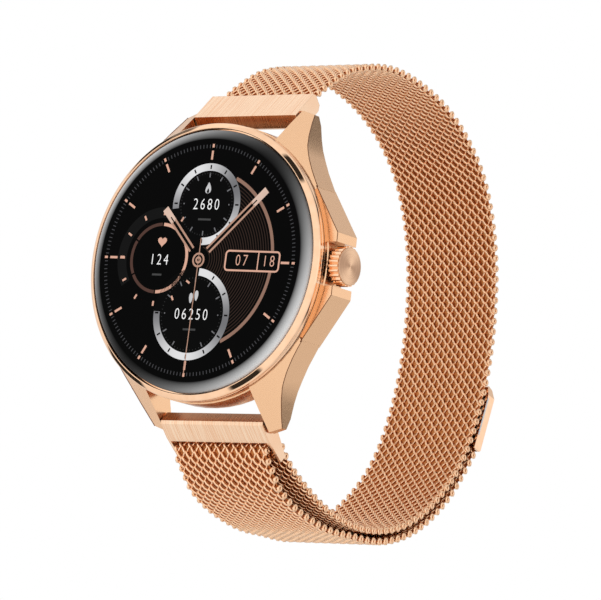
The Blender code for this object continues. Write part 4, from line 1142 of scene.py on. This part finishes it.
def woven(name, start, end):
    """The pairs of rows whose place lies between two lengths along the route."""
    count = int((whole_run[-1] - first_pair) / PAIR_STEP)
    runs = [run for run in (first_pair + PAIR_STEP * i for i in range(count)) if start <= run < end]
    points = []
    faces = []
    for run in runs:
        point, side = on_route(run + unit_points[:, 1])
        laid = point + side * unit_points[:, 2:3]
        faces += [tuple(len(points) * len(unit_points) + v for v in face) for face in unit_faces]
        points.append(numpy.column_stack([unit_points[:, 0], laid]))
    mesh = bpy.data.meshes.new(name)
    mesh.from_pydata(numpy.concatenate(points).tolist(), [], faces)
    mesh.shade_smooth()
    return linked(name, mesh)


# %% [markdown]
# ### Core
# Between its two faces a woven strap holds more wire than the eye can follow, and no light comes through. A
# thin dark ribbon in the middle of the thickness stands for that inner wire, and its dark colour is painted
# shade, for the shade deep in the weave. It is a strip of points along the route, with a front and a back,
# closed round its edges.

# %% Core ribbon
CORE_HALF_W = 8.5 * MM
CORE_T = 0.10 * MM
CORE_STEP = 0.6 * MM


def core(name, start, end):
    """A flat closed ribbon on the route between two lengths along it."""
    count = max(2, round((end - start) / CORE_STEP))
    point, side = on_route(numpy.linspace(start, end, count + 1))
    around = ((-1, -1), (1, -1), (1, 1), (-1, 1))
    corners = [(across * CORE_HALF_W, lift * CORE_T / 2) for across, lift in around]
    points = [(across, *(p + s * lift)) for p, s in zip(point, side) for across, lift in corners]
    faces = []
    for row in range(count):
        for one, two in ((0, 1), (1, 2), (2, 3), (3, 0)):
            faces.append((4 * row + one, 4 * row + two, 4 * row + 4 + two, 4 * row + 4 + one))
    faces += [(3, 2, 1, 0), tuple(4 * count + i for i in range(4))]
    mesh = bpy.data.meshes.new(name)
    mesh.from_pydata(points, [], faces)
    thing = linked(name, mesh)
    bpy.ops.object.mode_set(mode="EDIT")
    tidy()
    bpy.ops.object.shade_smooth_by_angle(angle=SMOOTH_ANGLE)
    return thing


# %% [markdown]
# ### Stretches of the strap and the bodies they follow
# A strap bends everywhere, but the model has a few hinges. A stretch that stays on one body rides on it.
# A stretch that crosses a hinge only has its place applied and is left unattached; its two bodies and where
# it bends are listed, but it is not blended between them.


BACK_END = UPPER_RUN + BACK_RUN
BACK_MIDDLE = UPPER_RUN + BACK_RUN / 2
# name, where it starts and ends, the node it replaces, its body, the next body, and where it bends
STRETCHES = [("strap_upper", 0, UPPER_RUN, "band_upper", "upper_link", "watch", 2 * MM, 15 * MM),
             ("strap_back_1", UPPER_RUN, BACK_MIDDLE, "band_back", "watch", None, 0, 0),
             ("strap_back_2", BACK_MIDDLE, BACK_END, None, "watch", None, 0, 0),
             ("strap_lower", BACK_END, bar_run - FOLD_RUN, "band_lower", "watch", None, 0, 0),
             ("strap_fold_in", bar_run - FOLD_RUN, apex_run, None, "watch", "ring", bar_run - FOLD_RUN,
              bar_run),
             ("strap_fold_out", apex_run, hinge_runs[0] - HINGE_LEAD, "band_fold", "ring", "watch", tail_run,
              hinge_runs[0] - HINGE_LEAD)]
bodies = ["watch", "tail_near", "tail_middle", "tail_end"]
stops = [hinge_runs[0] - HINGE_LEAD] + [run + TAIL_RUNS[0] / 2 for run in hinge_runs[:2]] + [whole_run[-1]]
for number, hinge in enumerate(hinge_runs):
    tail_name = "tail_%d" % (number + 1)
    STRETCHES.append(("strap_" + tail_name, stops[number], stops[number + 1], tail_name, bodies[number],
                      bodies[number + 1], hinge - HINGE_LEAD, hinge + HINGE_LEAD))
for name, first, last, node, body, next_body, bend_from, bend_to in STRETCHES:
    nodes = [node] if node else []
    wires = settle(woven(name, first, last), name, None, "mesh_band", wire_rose, *nodes)
    inner_name = name.replace("strap", "core")
    inner = settle(core(inner_name, max(first, first_pair), last), inner_name, None, "mesh_band", core_rose)
    for thing in (wires, inner):
        if next_body:
            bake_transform(thing)
        else:
            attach(thing, body)

# %% [markdown]
# ## Parts that keep their CAD shape
# Inside and on the back, the CAD shapes are right. They get plain finishes of their own: moulded plastic
# with a fine grain, rubber, green board, foil, gold and bare steel.

# %% Other finishes
def coated(name, dark, light, grain, rough, bump):
    """A painted, moulded or printed surface that isn't metal."""
    made = metal(name, dark, light, grain, rough, bump)
    made.node_tree.nodes["Principled BSDF"].inputs["Metallic"].default_value = 0
    return made


steel = metal("bare_steel", (0.50, 0.50, 0.51), (0.66, 0.66, 0.67), 3000, (0.24, 0.36), 0.1)
gold = metal("gold_plate", (0.86, 0.62, 0.24), (0.93, 0.70, 0.30), 2500, (0.12, 0.22), 0.05)
foil = metal("battery_wrap", (0.48, 0.48, 0.50), (0.62, 0.62, 0.64), 700, (0.28, 0.45), 0.3)
plastic = coated("moulded_black", (0.012, 0.012, 0.013), (0.024, 0.024, 0.026), 5000, (0.38, 0.55), 0.3)
rubber = coated("seal_rubber", (0.010, 0.010, 0.010), (0.018, 0.018, 0.018), 3500, (0.7, 0.85), 0.2)
board = coated("green_board", (0.010, 0.075, 0.035), (0.02, 0.13, 0.06), 1200, (0.35, 0.5), 0.1)
panel = coated("panel_black", (0.006, 0.006, 0.007), (0.01, 0.01, 0.012), 900, (0.15, 0.22), 0.02)
window = coated("window_black", (0.004, 0.004, 0.005), (0.008, 0.007, 0.009), 500, (0.04, 0.07), 0.0)

BY_WORD = [("gasket", rubber), ("o_ring", rubber), ("board", board), ("battery", foil), ("contact", gold),
           ("sensor_window", window), ("display_panel", panel), ("bracket", plastic), ("back_cover", plastic),
           ("carrier", plastic), ("push_switch", plastic), ("holder", plastic), ("far_bar", polished_rose)]
replaced = {"case_middle", "bezel", "cover_glass", "crown", "upper_end_link", "slide_ring", "tab_shell",
            "band_upper", "band_back", "band_lower", "band_fold", "tail_1", "tail_2", "tail_3"}
carried = [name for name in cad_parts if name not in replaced]
for name in carried:
    finish = next((made for word, made in BY_WORD if word in name), steel)
    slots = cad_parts[name].data.materials
    slots.clear()
    slots.append(finish)
print(len(carried), "CAD parts carried over")

# %% [markdown]
# ## Marks on the back
# The four screws have a cross for the driver, and the sensor looks out through three small round panes.
# They are thin inlays, made like the marks of the dial: flat shapes, extruded, and turned to face the
# wrist.

# %% Screw crosses and sensor panes
CROSS = (0.475, -0.475, 0.24)
PANE_R = 0.8
PANE_AT = 2.1
green_pane = coated("green_pane", (0.01, 0.05, 0.03), (0.02, 0.09, 0.05), 900, (0.05, 0.1), 0.0)
marks.clear()
backs = []
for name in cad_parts:
    if "screw" in name and "back" in name:
        low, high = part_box(name)
        middle = [(low[i] + high[i]) / 2 / MM for i in (0, 2)]
        backs.append(high[1])
        for turn in (45, 135):
            stroke("cross", 0, turn, CROSS, middle)
for turn in (0, 120, 240):
    sweep("pane", 0, at(PANE_AT, turn), 0.02, PANE_R, 0, 360)
onto_back = {"cross": (backs[0], plastic), "pane": (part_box("sensor_window")[1][1], green_pane)}
for (kind, layer), flat_marks in marks.items():
    level, finish = onto_back[kind]
    place = Matrix.Translation((0, level + LAYER / 2, 0)) @ UPRIGHT
    inlay(flat_marks, place, "back_" + kind, "black_plastic", finish)
